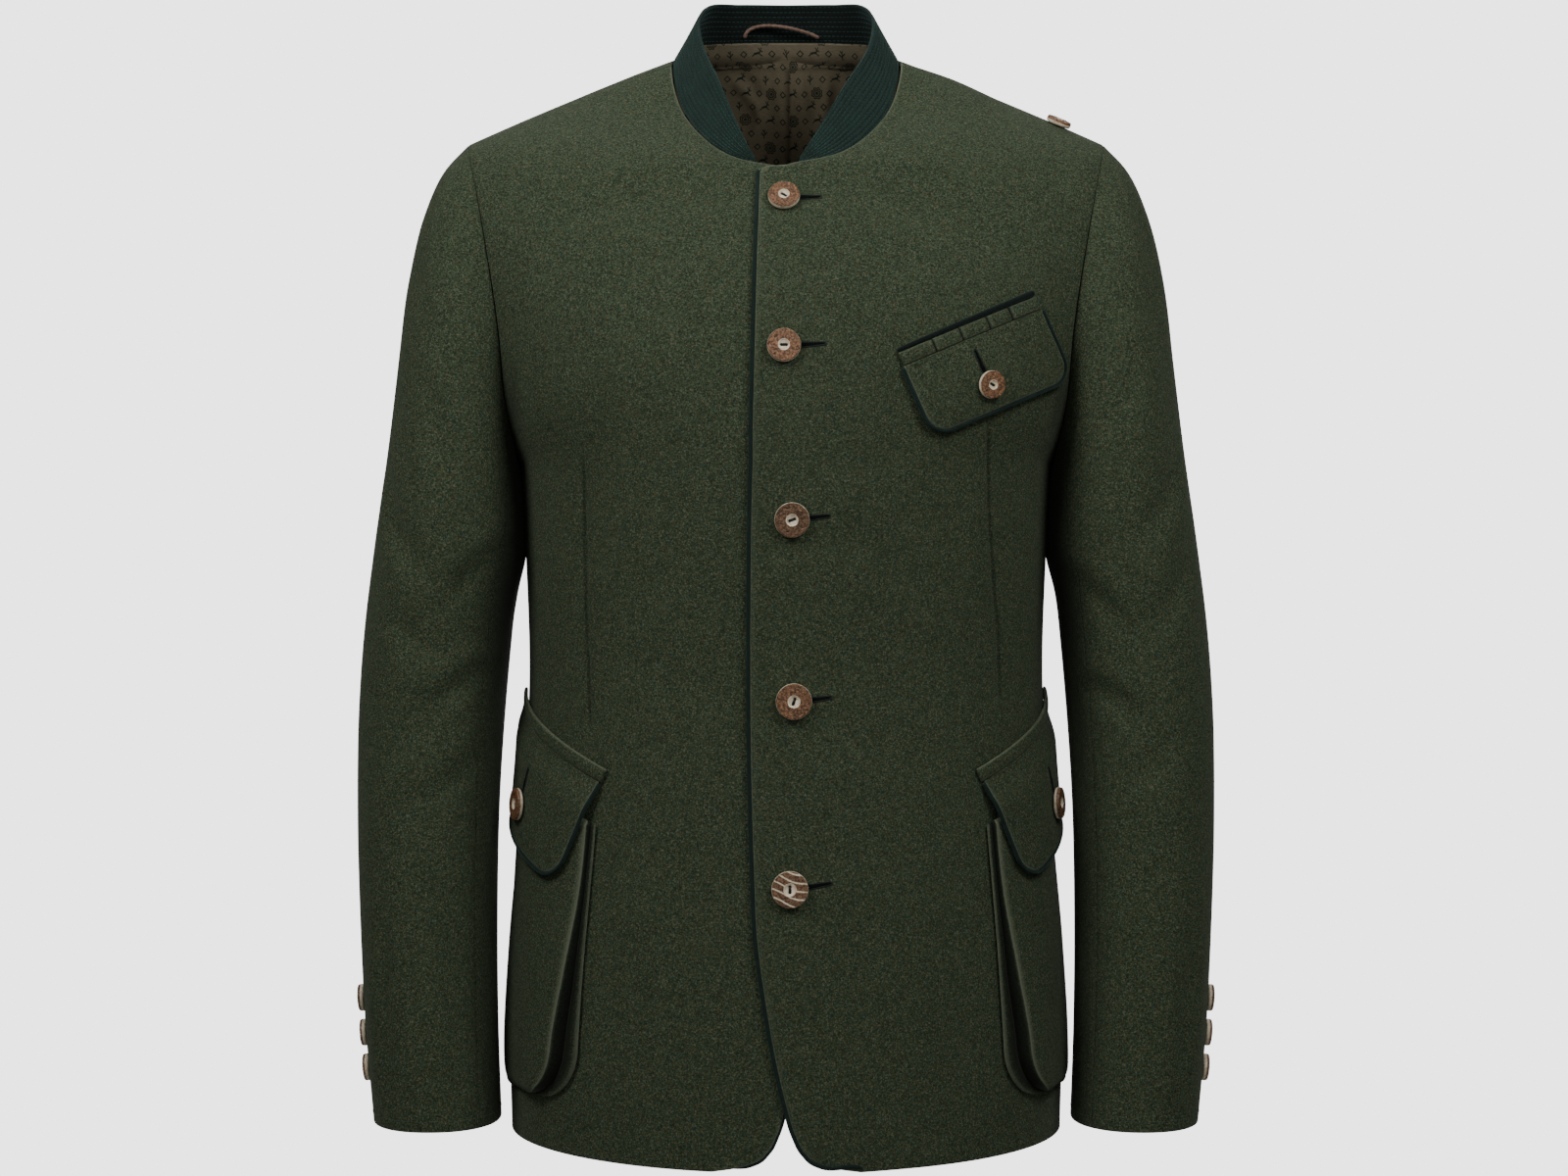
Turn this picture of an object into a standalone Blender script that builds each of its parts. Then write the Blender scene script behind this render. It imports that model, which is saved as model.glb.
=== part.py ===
"""Tyrolean loden jacket, filled out as if worn: cloth panels, pockets, piping and horn buttons.

Units are metres, +Z up. The front faces -Y and the wearer's left is +X. The origin is the middle
of the neck opening, level with the points where the shoulder seams meet the collar.

The torso is a set of rows. Each row is a curve from the middle of the front (or back) round to
the side seam, and above the underarm from the neck line to the armhole. Sleeves are rings that
fan out from the same armhole line. A level of 0 is the hem and 1 is the shoulder seam.
"""
from functools import partial

import bmesh
import bpy
import numpy as np
from mathutils import Vector

# ---------------------------------------------------------------- driving sizes
WALL = 0.0022            # loden cloth
COLLAR_WALL = 0.0030     # collar cloth, two layers stitched through
LINING_WALL = 0.0010
GAP = 0.0003             # between two pieces
PIPING_RADIUS = 0.0014
UNDER_PIPING_RADIUS = 0.0011
LOOP_RADIUS = 0.0012

HEM_Z = -0.7250
UNDERARM_Z = -0.2700
PIT_Z = -0.0775          # lowest point of the neck line, at the front
NAPE_Z = 0.0140
UNDERARM_LEVEL = 0.60
PIT_SHARE = 0.61         # share of the armhole height at which the front row meets the neck pit
NAPE_SHARE = 0.70
SIDE_RISE = 0.0045       # how much higher the hem lies at the sides
SIDE_RISE_FADE = 0.060   # height over which that fades out

TORSO_ROWS = 251         # rows of the fine grid, one of them at the underarm, the pit and the nape
TORSO_COLUMNS = 81
NECK_RADIUS = 0.0775
SEAM_Y = 0.010           # the side seams and the armholes' lowest points
ARMHOLE_MIDDLE_Z = -0.162
ARMHOLE_HALF = (0.066, 0.108)        # y, z
ARMHOLE_SQUARE = 0.9     # below 1 the armhole is a little squarer than an ellipse
BACK_WIDTH = 0.007       # how much wider the back is than the front at the armhole

OVERLAP_FLAT = 0.030     # the top front lies on the under front this far from the middle
OVERLAP_EASE = 0.050


def table(names, *rows):
    """A short table as a dictionary of columns."""
    return dict(zip(names.split(), np.array(rows, dtype=float).T))


BODY = table(
    "z        half_width  front   back",
    (-0.7250, 0.1862,     0.1360, 0.1310),
    (-0.6900, 0.1870,     0.1345, 0.1300),
    (-0.6000, 0.1842,     0.1300, 0.1240),
    (-0.5000, 0.1788,     0.1230, 0.1100),
    (-0.4150, 0.1745,     0.1185, 0.1000),
    (-0.3300, 0.1770,     0.1225, 0.1080),
    (-0.2700, 0.1800,     0.1260, 0.1190),
    (-0.2200, 0.1830,     0.1255, 0.1240),
    (-0.1700, 0.1850,     0.1185, 0.1245),
    (-0.1200, 0.1850,     0.1010, 0.1180),
    (-0.0775, 0.1850,     0.0770, 0.1080),
    (-0.0300, 0.1850,     0.0600, 0.0860),
    (0.0140, 0.1850,      0.0600, 0.0630))

NECK = table(
    "angle  y        z",
    (0,    -0.0770, -0.0775),
    (30,   -0.0655, -0.0671),
    (60,   -0.0355, -0.0388),
    (90,   0.0050,  0.0000),
    (120,  0.0370,  0.0085),
    (150,  0.0565,  0.0128),
    (180,  0.0630,  0.0140))

ARMHOLE_X = table(
    "z        x",
    (-0.2700, 0.1800),
    (-0.2340, 0.1865),
    (-0.1840, 0.1905),
    (-0.1310, 0.1985),
    (-0.0880, 0.2070),
    (-0.0540, 0.2155))

# Rows above the underarm: share of the armhole height, how a row leaves the middle and how it
# arrives at the armhole (a pull is the length of the curve's handle).
YOKE_FRONT = table(
    "share in_pull in_x in_y   in_z   out_pull out_x out_y out_z",
    (0.00, 0.1060, 1.0, 0.00,  0.00,  0.0760, 0.00, 1.00, 0.00),
    (0.20, 0.0960, 1.0, 0.00,  0.00,  0.0740, 0.28, 0.95, 0.03),
    (0.40, 0.0800, 1.0, 0.00,  0.00,  0.0690, 0.58, 0.81, 0.00),
    (0.60, 0.0600, 1.0, 0.00,  0.00,  0.0600, 0.80, 0.60, -0.08),
    (0.80, 0.0500, 1.0, -0.22, -0.16, 0.0500, 0.93, 0.30, -0.24),
    (1.00, 0.0450, 1.0, 0.02,  -0.30, 0.0450, 0.90, 0.02, -0.44))

YOKE_BACK = table(
    "share in_pull in_x in_y   in_z   out_pull out_x out_y  out_z",
    (0.00, 0.1060, 1.0, 0.00,  0.00,  0.0700, 0.00, -1.00, 0.00),
    (0.20, 0.1000, 1.0, 0.00,  0.00,  0.0700, 0.30, -0.95, 0.03),
    (0.40, 0.0900, 1.0, 0.00,  0.00,  0.0690, 0.62, -0.79, 0.00),
    (0.70, 0.0680, 1.0, 0.00,  0.00,  0.0580, 0.88, -0.45, -0.14),
    (0.85, 0.0520, 1.0, 0.10,  -0.42, 0.0500, 0.93, -0.22, -0.28),
    (1.00, 0.0450, 1.0, 0.02,  -0.30, 0.0450, 0.90, 0.02,  -0.44))

FRONT_PULL = 0.60        # handle along X over half width, where a front row leaves the middle
SIDE_PULL = 0.56         # handle along Y over depth, where it arrives at the side seam
BACK_PULL = 0.58

FRONT_EDGE = table(      # the top front's free edge, from the rounded hem corner up to the neck
    "z        x",
    (-0.7250, 0.0480),
    (-0.7222, 0.0318),
    (-0.7183, 0.0194),
    (-0.7121, 0.0119),
    (-0.7015, 0.0060),
    (-0.6834, 0.0003),
    (-0.6520, -0.0070),
    (-0.6150, -0.0135),
    (-0.5770, -0.0187),
    (-0.5300, -0.0208),
    (-0.2000, -0.0205),
    (-0.0775, -0.0172))

SLEEVE = table(
    "outer_x outer_z  inner_x inner_z  middle_y half_depth",
    (0.2155, -0.0540, 0.1803, -0.2700, 0.0100,  0.0660),
    (0.2310, -0.0710, 0.1812, -0.2790, 0.0080,  0.0700),
    (0.2450, -0.1020, 0.1818, -0.2900, 0.0060,  0.0725),
    (0.2550, -0.1480, 0.1822, -0.3020, 0.0040,  0.0735),
    (0.2618, -0.2000, 0.1824, -0.3160, 0.0030,  0.0735),
    (0.2690, -0.2600, 0.1818, -0.3340, 0.0020,  0.0720),
    (0.2775, -0.3200, 0.1832, -0.3600, 0.0020,  0.0700),
    (0.2850, -0.3800, 0.1872, -0.3960, 0.0020,  0.0670),
    (0.2885, -0.4300, 0.1905, -0.4360, 0.0000,  0.0645),
    (0.2890, -0.5000, 0.1940, -0.5000, -0.0060, 0.0615),
    (0.2860, -0.5800, 0.1948, -0.5800, -0.0140, 0.0590),
    (0.2815, -0.6500, 0.1935, -0.6500, -0.0210, 0.0565),
    (0.2755, -0.7100, 0.1910, -0.7095, -0.0260, 0.0545))
SLEEVE_SQUARE = 0.92     # below 1 the rings are a little squarer than ellipses
FRONT_SEAM_ANGLE = 138.0
HIND_SEAM_TOP = -64.0
HIND_SEAM_CUFF = -18.0
HIND_SEAM_REACH = 0.91   # share of the sleeve over which the hind seam swings round
SEAM_ANGLE_GAP = 0.16    # degrees that each sleeve piece stops short of a seam
SLEEVE_COLUMNS = {"upper": 14, "under": 11}
SLEEVE_ROWS = 18
SLEEVE_START = 0.0012    # keeps a gap to the armhole
SLEEVE_CAP_STEP = 3      # the ring by which the armhole's own shape has faded out

COLLAR_GAP = 0.0009
COLLAR_COLUMNS = 41
COLLAR_ROWS = 3
COLLAR_END_LEFT = 5.5    # neck angles where the collar ends, on the wearer's left and right
COLLAR_END_RIGHT = 14.0
COLLAR_SHIFT = -0.0057   # the front ends lie this far toward the wearer's right
COLLAR_SHIFT_REACH = 0.42
COLLAR_TOP = table(
    "share  x       y        z",
    (0.00,  0.0128, -0.0722, -0.0740),
    (0.12,  0.0270, -0.0560, -0.0475),
    (0.25,  0.0420, -0.0365, -0.0170),
    (0.40,  0.0568, -0.0100, 0.0130),
    (0.47,  0.0600, 0.0040,  0.0275),
    (0.56,  0.0583, 0.0175,  0.0385),
    (0.65,  0.0530, 0.0300,  0.0450),
    (0.82,  0.0320, 0.0460,  0.0480),
    (1.00,  0.0000, 0.0515,  0.0485))

# Pockets. A pocket frame starts at the middle of the flap's top edge: w runs along the slanted
# edge, d runs down the flap.
SIDE_SLANT = np.radians(22.0)
SIDE_FLAP = {"width": 0.126, "height": 0.072, "corner": 0.018}
SIDE_FLAP_STAND = 0.0044          # how far the flap stands off to clear the bag
SIDE_FLAP_STAND_BY = 0.022        # how far down the flap that is reached
SIDE_FLAP_SWELL = 0.0010
SIDE_FLAP_SWELL_FROM = 0.030
SIDE_FLAP_SWELL_OVER = 0.050
SIDE_TOP_Z = -0.4555
SIDE_ARC = {"left": -0.052, "right": -0.061}     # flap middle, along the cloth from the side seam
SIDE_BUTTON_DOWN = 0.047
WELT_HEIGHT = 0.0090
BAG_BOTTOM_Z = -0.6880
BAG_CORNER = 0.034
BAG_TOP_DOWN = 0.026     # the bag starts this far down the flap
BAG_REACH = (-0.059, 0.063)          # its front and back edge from the flap middle
BAG_LIFT = table(
    "z        lift    gusset",
    (-0.6900, 0.0095, 0.0150),
    (-0.6500, 0.0105, 0.0130),
    (-0.6000, 0.0085, 0.0080),
    (-0.5450, 0.0038, 0.0050),
    (-0.4300, 0.0034, 0.0040))
BAG_FACE = (1.0, 0.86, 0.60, 0.42, 0.42, 0.6)    # share of the lift, from its front edge back
BAG_FOOT = (0.0, 0.75, 1.0)      # share of the gusset's reach at which its rim points lie
BAG_RIM = (1.0, 1.0, 0.8)        # share of the wall, from the sewn edge to the gusset's foot
BAG_UNDER = 0.0012       # keeps the flat facets of bag and body apart
TRIM_UNDER = 0.0008

CHEST_SLANT = np.radians(23.3)
CHEST_TOP_MIDDLE = (0.1204, -0.1906)             # x, z as seen from the front
CHEST_FLAP = {"width": 0.0985, "height": 0.0475, "corner": 0.013}
CHEST_BAND_HEIGHT = 0.0088
CHEST_FLAP_STAND = 0.0016
CHEST_FLAP_STAND_BY = 0.040
CHEST_BUTTON_DOWN = 0.0315
CHEST_BUTTON_ASIDE = -0.003
BAND_ACROSS = np.array((0.0, 0.12, 0.5, 0.88, 1.0))
BAND_FACE = np.array((-0.0010, 0.0, 0.0006, 0.0, -0.0010))   # its rounded face off the wall
WELT_OVERHANG = 0.004    # how much longer the welt is than the flap

BUTTONS_FRONT = table(
    "x       z        diameter",
    (-0.0013, -0.1006, 0.0206),
    (-0.0013, -0.1973, 0.0216),
    (0.0038,  -0.3083, 0.0225),
    (0.0050,  -0.4252, 0.0232),
    (0.0025,  -0.5450, 0.0236))
BAG_ROWS = 6
BAG_CORNER_TURN = 78.0
BAG_STEP = 0.0025        # how far the gusset's wall leans as it rises
LINING_SHARE = 0.485     # how far round the neck the lining reaches
LINING_COLUMNS = 17
LINING_ROWS = 6
LINING_RISE = 0.28       # how far it climbs inside the collar
LINING_LOW = 0.72        # its lower edge, as a level of the back
LINING_HALF_WIDTH = 0.105
LINING_ROW_X = 0.205     # how far out the back's rows reach
LINING_UNDER = 0.0016     # below the back's inner face
LOOP_MIDDLE_X = -0.0030
LOOP_HALF_WIDTH = 0.0255
LOOP_Y = 0.0500
LOOP_Z = 0.0250
LOOP_HEIGHT = 0.0085
LOOP_BOW = 0.0020        # how far its middle leans forward
PIPING_TOP_Z = -0.0800
PIPING_DROP = 0.0005
SLEEVE_BUTTON_Z = (-0.6305, -0.6535, -0.6765)
SLEEVE_BUTTON_ANGLE = -3.0
SLEEVE_BUTTON_DIAMETER = 0.0180
CHEST_BUTTON_DIAMETER = 0.0182
SIDE_BUTTON_DIAMETER = 0.0212
SHOULDER_BUTTON = {"level": 0.992, "share": 0.770, "diameter": 0.0170}
BUTTON_THICKNESS = 0.0042
BUTTON_SIDES = 11
BUTTON_PROFILE = table(  # from the well over the rim to the back, as shares of the full size
    "radius height",
    (0.00,  0.62),
    (0.42,  0.92),
    (0.88,  1.00),
    (1.00,  0.78),
    (1.00,  0.30),
    (0.82,  0.00),
    (0.00,  0.00))

COLOURS = {
    "loden": ((0.040, 0.052, 0.026, 1.0), 0.95),
    "green_cloth": ((0.008, 0.030, 0.024, 1.0), 0.90),
    "lining": ((0.200, 0.145, 0.085, 1.0), 0.55),
    "horn": ((0.230, 0.120, 0.060, 1.0), 0.45),
    "cord": ((0.110, 0.060, 0.028, 1.0), 0.70)}


# ---------------------------------------------------------------- curves
def smooth(at, knots, values):
    """Values between the knots along a curve without corners."""
    at = np.asarray(at, dtype=float)
    slopes = np.gradient(values, knots)
    low = np.clip(np.searchsorted(knots, at, side="right") - 1, 0, len(knots) - 2)
    span = knots[low + 1] - knots[low]
    t = np.clip((at - knots[low]) / span, 0.0, 1.0)
    start = (1 + 2 * t) * (1 - t) ** 2 * values[low] + t * (1 - t) ** 2 * span * slopes[low]
    end = t * t * (3 - 2 * t) * values[low + 1] + t * t * (t - 1) * span * slopes[low + 1]
    return start + end


def ease(at):
    """0 to 1 without corners."""
    at = np.clip(at, 0.0, 1.0)
    return at * at * (3 - 2 * at)


def stack(x, y, z):
    """Three arrays as points."""
    return np.stack(np.broadcast_arrays(x, y, z), axis=-1)


def mirrored(points):
    """The same points on the wearer's other side."""
    return points * np.array((-1.0, 1.0, 1.0))


def neck_line(angle):
    """The neck seam: 0 is the front pit, 90 the left shoulder, 180 the nape."""
    around = np.abs(angle)
    x = NECK_RADIUS * np.sin(np.radians(angle))
    return stack(x, smooth(around, NECK["angle"], NECK["y"]),
                 smooth(around, NECK["angle"], NECK["z"]))


def armhole_line(angle):
    """The left armhole seam: 0 is the shoulder, 90 the front, 180 the underarm, 270 the back."""
    turn = np.radians(angle)
    across = np.sign(np.sin(turn)) * np.abs(np.sin(turn)) ** ARMHOLE_SQUARE
    y = SEAM_Y - ARMHOLE_HALF[0] * across
    z = ARMHOLE_MIDDLE_Z + ARMHOLE_HALF[1] * np.cos(turn)
    x = smooth(z, ARMHOLE_X["z"], ARMHOLE_X["x"]) + BACK_WIDTH * np.clip(-np.sin(turn), 0, 1)
    return stack(x, y, z)


# ---------------------------------------------------------------- the torso's form
def unit(vectors):
    """Vectors of length 1."""
    return vectors / np.linalg.norm(vectors, axis=-1, keepdims=True)


def row_ends(face, level):
    """Where each row starts and ends, and its two handles. Face is -1 for front, 1 for back."""
    column = "front" if face < 0 else "back"
    yoke = YOKE_FRONT if face < 0 else YOKE_BACK
    low = level < UNDERARM_LEVEL
    share = np.clip((level - UNDERARM_LEVEL) / (1 - UNDERARM_LEVEL), 0, 1)
    turn_share = PIT_SHARE if face < 0 else NAPE_SHARE
    top_z = PIT_Z if face < 0 else NAPE_Z
    z_low = HEM_Z + level / UNDERARM_LEVEL * (UNDERARM_Z - HEM_Z)
    z_up = UNDERARM_Z + np.clip(share / turn_share, 0, 1) * (top_z - UNDERARM_Z)
    z = np.where(low, z_low, z_up)
    middle = stack(0 * z, face * smooth(z, BODY["z"], BODY[column]), z)
    swing = np.clip((share - turn_share) / (1 - turn_share), 0, 1) * 90
    neck = neck_line(swing if face < 0 else 180 - swing)
    on_neck = (share > turn_share)[:, None]
    start = np.where(on_neck, neck, middle)

    half_width = smooth(z_low, BODY["z"], BODY["half_width"])
    rise = SIDE_RISE * (1 - ease((z_low - HEM_Z) / SIDE_RISE_FADE))
    side = stack(half_width, SEAM_Y, z_low + rise)
    armhole = armhole_line(180 * (1 - share) if face < 0 else 180 * (1 + share))
    end = np.where(low[:, None], side, armhole)

    depth = smooth(z_low, BODY["z"], BODY[column]) - face * SEAM_Y
    pull = FRONT_PULL if face < 0 else BACK_PULL
    leave_low = stack(pull * half_width, 0, 0)
    arrive_low = stack(0, -face * SIDE_PULL * depth, 0)
    way = {name: smooth(share, yoke["share"], yoke[name]) for name in yoke}
    leave_up = np.where(on_neck, unit(stack(way["in_x"], way["in_y"], way["in_z"])), (1, 0, 0))
    arrive_up = unit(stack(way["out_x"], way["out_y"], way["out_z"]))
    leave = np.where(low[:, None], leave_low, leave_up * way["in_pull"][:, None])
    arrive = np.where(low[:, None], arrive_low, arrive_up * way["out_pull"][:, None])
    return start, start + leave, end - arrive, end


def torso_rows(face, level, share):
    """Points of the torso's outer face, a row for each level, evenly along each row by share."""
    start, leave, arrive, end = row_ends(face, level)
    t = np.linspace(0, 1, 80)[:, None, None]
    curve = ((1 - t) ** 3 * start + 3 * t * (1 - t) ** 2 * leave
             + 3 * t * t * (1 - t) * arrive + t ** 3 * end)
    step = np.linalg.norm(np.diff(curve, axis=0), axis=-1)
    along = np.vstack([np.zeros(len(level)), np.cumsum(step, axis=0)])
    rows = []
    for i in range(len(level)):
        at = share * along[-1, i]
        rows.append(np.stack([np.interp(at, along[:, i], curve[:, i, k]) for k in range(3)], -1))
    return np.array(rows), along[-1]


def face_normals(points, outward):
    """Unit normals of a grid of points, on the side that the outward points lie on."""
    normal = unit(np.cross(np.gradient(points, axis=0), np.gradient(points, axis=1)))
    side = np.sign(np.sum(normal * outward, axis=-1, keepdims=True).mean())
    return normal * side


class Lattice:
    """A fine grid of points and normals that other pieces read by level and share."""

    def __init__(self, level, share, points, normals):
        self.level, self.share = level, share
        self.points, self.normals = points, normals

    def read(self, level, share):
        """Points and normals at the given levels and shares."""
        row = np.interp(level, self.level, np.arange(len(self.level)))
        column = np.interp(share, self.share, np.arange(len(self.share)))
        i = np.clip(row.astype(int), 0, len(self.level) - 2)
        j = np.clip(column.astype(int), 0, len(self.share) - 2)
        a, b = (row - i)[..., None], (column - j)[..., None]
        found = []
        for grid in (self.points, self.normals):
            low = grid[i, j] * (1 - b) + grid[i, j + 1] * b
            high = grid[i + 1, j] * (1 - b) + grid[i + 1, j + 1] * b
            found.append(low * (1 - a) + high * a)
        return found


def make_torso():
    """Fine grids of the left half of the front and of the back, mitred at the shoulder seam."""
    level = np.linspace(0, 1, TORSO_ROWS)
    share = np.linspace(0, 1, TORSO_COLUMNS)
    grids, widths = {}, {}
    for face in (-1, 1):
        points, widths[face] = torso_rows(face, level, share)
        grids[face] = [points, face_normals(points, points - np.array((0, 0, -0.35)))]
    front, back = grids[-1][1][-1], grids[1][1][-1]
    mitre = unit(front + back)
    mitre = mitre / np.sum(mitre * front, axis=-1, keepdims=True)
    grids[-1][1][-1] = mitre
    grids[1][1][-1] = mitre
    return {face: Lattice(level, share, *grids[face]) for face in grids}, widths, level


TORSO, ROW_WIDTH, ROW_LEVEL = make_torso()


def level_of(z):
    """Level of a row below the underarm."""
    return (z - HEM_Z) / (UNDERARM_Z - HEM_Z) * UNDERARM_LEVEL


def row_width(face, level):
    """Length of a row along the cloth."""
    return np.interp(level, ROW_LEVEL, ROW_WIDTH[face])


def lie(points, normals, height):
    """Points moved off the surface."""
    return points + normals * np.asarray(height)[..., None]


def overlap_lift(distance):
    """How far the top front is raised, by its distance from the middle along the cloth."""
    return (WALL + 2 * GAP) * (1 - ease((np.abs(distance) - OVERLAP_FLAT) / OVERLAP_EASE))


def around_side(z, arc):
    """Point and normal at the left side, by the distance from the side seam along the cloth."""
    level = level_of(z)
    front = TORSO[-1].read(level, 1 + arc / row_width(-1, level))
    back = TORSO[1].read(level, 1 - arc / row_width(1, level))
    behind = (arc > 0)[..., None]
    return np.where(behind, back[0], front[0]), np.where(behind, back[1], front[1])


def seen_from_front(x, z):
    """Point and normal of the left front that lies behind x, z in a front view."""
    level = np.full(np.shape(x), 0.7)
    share = np.full(np.shape(x), 0.5)
    small = 1e-3
    for _ in range(14):
        here = TORSO[-1].read(level, share)[0]
        up = (TORSO[-1].read(level + small, share)[0] - here) / small
        out = (TORSO[-1].read(level, share + small)[0] - here) / small
        miss_x, miss_z = x - here[..., 0], z - here[..., 2]
        flat = up[..., 0] * out[..., 2] - up[..., 2] * out[..., 0]
        level = np.clip(level + (miss_x * out[..., 2] - miss_z * out[..., 0]) / flat, 0, 0.995)
        share = np.clip(share + (up[..., 0] * miss_z - up[..., 2] * miss_x) / flat, 0, 0.995)
    point, normal = TORSO[-1].read(level, share)
    return lie(point, normal, overlap_lift(share * row_width(-1, level))), normal


# ---------------------------------------------------------------- solids
def material(kind, name):
    """A plain material in the piece's colour."""
    found = bpy.data.materials.new(kind + "_" + name)
    found.use_nodes = True
    colour, roughness = COLOURS[kind]
    shader = found.node_tree.nodes["Principled BSDF"]
    shader.inputs["Base Color"].default_value = colour
    shader.inputs["Roughness"].default_value = roughness
    shader.inputs["Metallic"].default_value = 0.0
    found.diffuse_color = colour
    return found


def add_object(name, data, kind, group):
    """Link a mesh or curve as a named piece with its own material."""
    piece = bpy.data.objects.new(name, data)
    data.materials.append(material(kind, name))
    group.objects.link(piece)
    return piece


def finish_mesh(work, name):
    """Turn the faces outward and keep the result as a smooth mesh with sharp rims."""
    bmesh.ops.recalc_face_normals(work, faces=work.faces)
    mesh = bpy.data.meshes.new(name)
    work.to_mesh(mesh)
    work.free()
    mesh.shade_smooth()
    mesh.set_sharp_from_angle(angle=np.radians(40))
    return mesh


def shell(name, outer, inner, kind, group, mask=None):
    """A closed cloth wall between two grids of points. Mask says which grid cells exist."""
    rows, columns = outer.shape[:2]
    if mask is None:
        mask = np.ones((rows - 1, columns - 1), dtype=bool)
    work = bmesh.new()
    corners = {}

    def corner(i, j):
        """The outer and inner vertex of a grid point; points in one place share them."""
        key = tuple(np.round(outer[i, j], 6))
        if key not in corners:
            corners[key] = (work.verts.new(outer[i, j]), work.verts.new(inner[i, j]))
        return corners[key]

    rim = {}
    for i, j in np.argwhere(mask):
        loop = [corner(i, j), corner(i + 1, j), corner(i + 1, j + 1), corner(i, j + 1)]
        loop = [at for k, at in enumerate(loop) if at is not loop[k - 1]]
        work.faces.new([at[0] for at in loop])
        work.faces.new([at[1] for at in reversed(loop)])
        for a, b in zip(loop, loop[1:] + loop[:1]):
            if (b[0], a[0]) in rim:
                del rim[(b[0], a[0])]
            else:
                rim[(a[0], b[0])] = (a, b)
    for a, b in rim.values():
        work.faces.new([b[0], a[0], a[1], b[1]])
    return add_object(name, finish_mesh(work, name), kind, group)


def cord(name, points, radius, kind, group):
    """A round cord or piping along points, with filled ends."""
    curve = bpy.data.curves.new(name, "CURVE")
    curve.dimensions = "3D"
    curve.bevel_depth = radius
    curve.bevel_resolution = 1
    curve.use_fill_caps = True
    spline = curve.splines.new("POLY")
    spline.points.add(len(points) - 1)
    for target, point in zip(spline.points, points):
        target.co = (*point, 1.0)
    return add_object(name, curve, kind, group)


def button(name, place, normal, diameter, group):
    """A turned horn disc with a rounded rim and a shallow well, lying on the cloth."""
    radius = diameter / 2
    work = bmesh.new()
    points = [work.verts.new((x * radius, 0, z * BUTTON_THICKNESS))
              for x, z in zip(BUTTON_PROFILE["radius"], BUTTON_PROFILE["height"])]
    edges = [work.edges.new(pair) for pair in zip(points, points[1:])]
    bmesh.ops.spin(work, geom=points + edges, cent=(0, 0, 0), axis=(0, 0, 1),
                   angle=2 * np.pi, steps=BUTTON_SIDES, use_merge=True)
    bmesh.ops.remove_doubles(work, verts=work.verts, dist=1e-6)
    piece = add_object(name, finish_mesh(work, name), "horn", group)
    piece.location = Vector(place) + Vector(normal) * 2 * GAP
    piece.rotation_mode = "QUATERNION"
    piece.rotation_quaternion = Vector(normal).to_track_quat("Z", "Y")
    return piece


# ---------------------------------------------------------------- body panels
PIT_LEVEL = UNDERARM_LEVEL + PIT_SHARE * (1 - UNDERARM_LEVEL)
NAPE_LEVEL = UNDERARM_LEVEL + NAPE_SHARE * (1 - UNDERARM_LEVEL)
TOP_LEVEL = 1 - 0.0003           # half a gap below the shoulder seam
CORNER_ROWS = FRONT_EDGE["z"][:6]
BODY_COLUMNS = 12
OVERLAP_COLUMNS = 2


def trimmed_shares(face, level, shares, neck_level):
    """Shares that stop half a gap short of the seams and a gap short of the neck line."""
    width = row_width(face, level)[:, None]
    start = np.where(level[:, None] > neck_level + 1e-9, GAP / width, 0.0)
    return start + shares * (1 - GAP / 2 / width - start)


def front_grid():
    """Levels, shares and mask of a front panel: the overlap ends at the neck line."""
    rows = np.linspace(level_of(CORNER_ROWS[-1]), PIT_LEVEL, 15)[1:]
    level = np.concatenate([level_of(CORNER_ROWS), rows, np.linspace(PIT_LEVEL, TOP_LEVEL, 8)[1:]])
    main = trimmed_shares(-1, level, np.linspace(0, 1, BODY_COLUMNS)[None, :], PIT_LEVEL)
    width = row_width(-1, level)[:, None]
    z = HEM_Z + level / UNDERARM_LEVEL * (UNDERARM_Z - HEM_Z)
    edge = smooth(z, FRONT_EDGE["z"], FRONT_EDGE["x"])[:, None]
    straight = FRONT_EDGE["x"].min()
    overlap = straight / width * np.linspace(1, 0, OVERLAP_COLUMNS, endpoint=False)
    share = np.hstack([overlap, main])
    fade = np.linspace(1, 0, share.shape[1]) ** 2
    below_neck = (level <= PIT_LEVEL + 1e-9)[:, None]
    share = share + np.where(below_neck, (edge - straight) / width, 0) * fade
    mask = np.ones((len(level) - 1, share.shape[1] - 1), dtype=bool)
    mask[level[1:] > PIT_LEVEL + 1e-9, :OVERLAP_COLUMNS] = False
    return level, share, mask


def read_half(face, level, share):
    """Points and normals of the torso; a negative share lies on the wearer's right."""
    points, normals = TORSO[face].read(np.broadcast_to(level[:, None], share.shape), np.abs(share))
    right = np.signbit(share)[..., None]
    return np.where(right, mirrored(points), points), np.where(right, mirrored(normals), normals)


def build_fronts(group):
    """The two fronts. The left one lies on top, so it is raised where they overlap."""
    level, share, mask = front_grid()
    points, normals = read_half(-1, level, share)
    lift = overlap_lift(share * row_width(-1, level)[:, None])
    shell("front_left", lie(points, normals, lift), lie(points, normals, lift - WALL),
          "loden", group, mask)
    under = np.full(share.shape, -WALL)
    shell("front_right", mirrored(points), mirrored(lie(points, normals, under)),
          "loden", group, mask)


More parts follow.
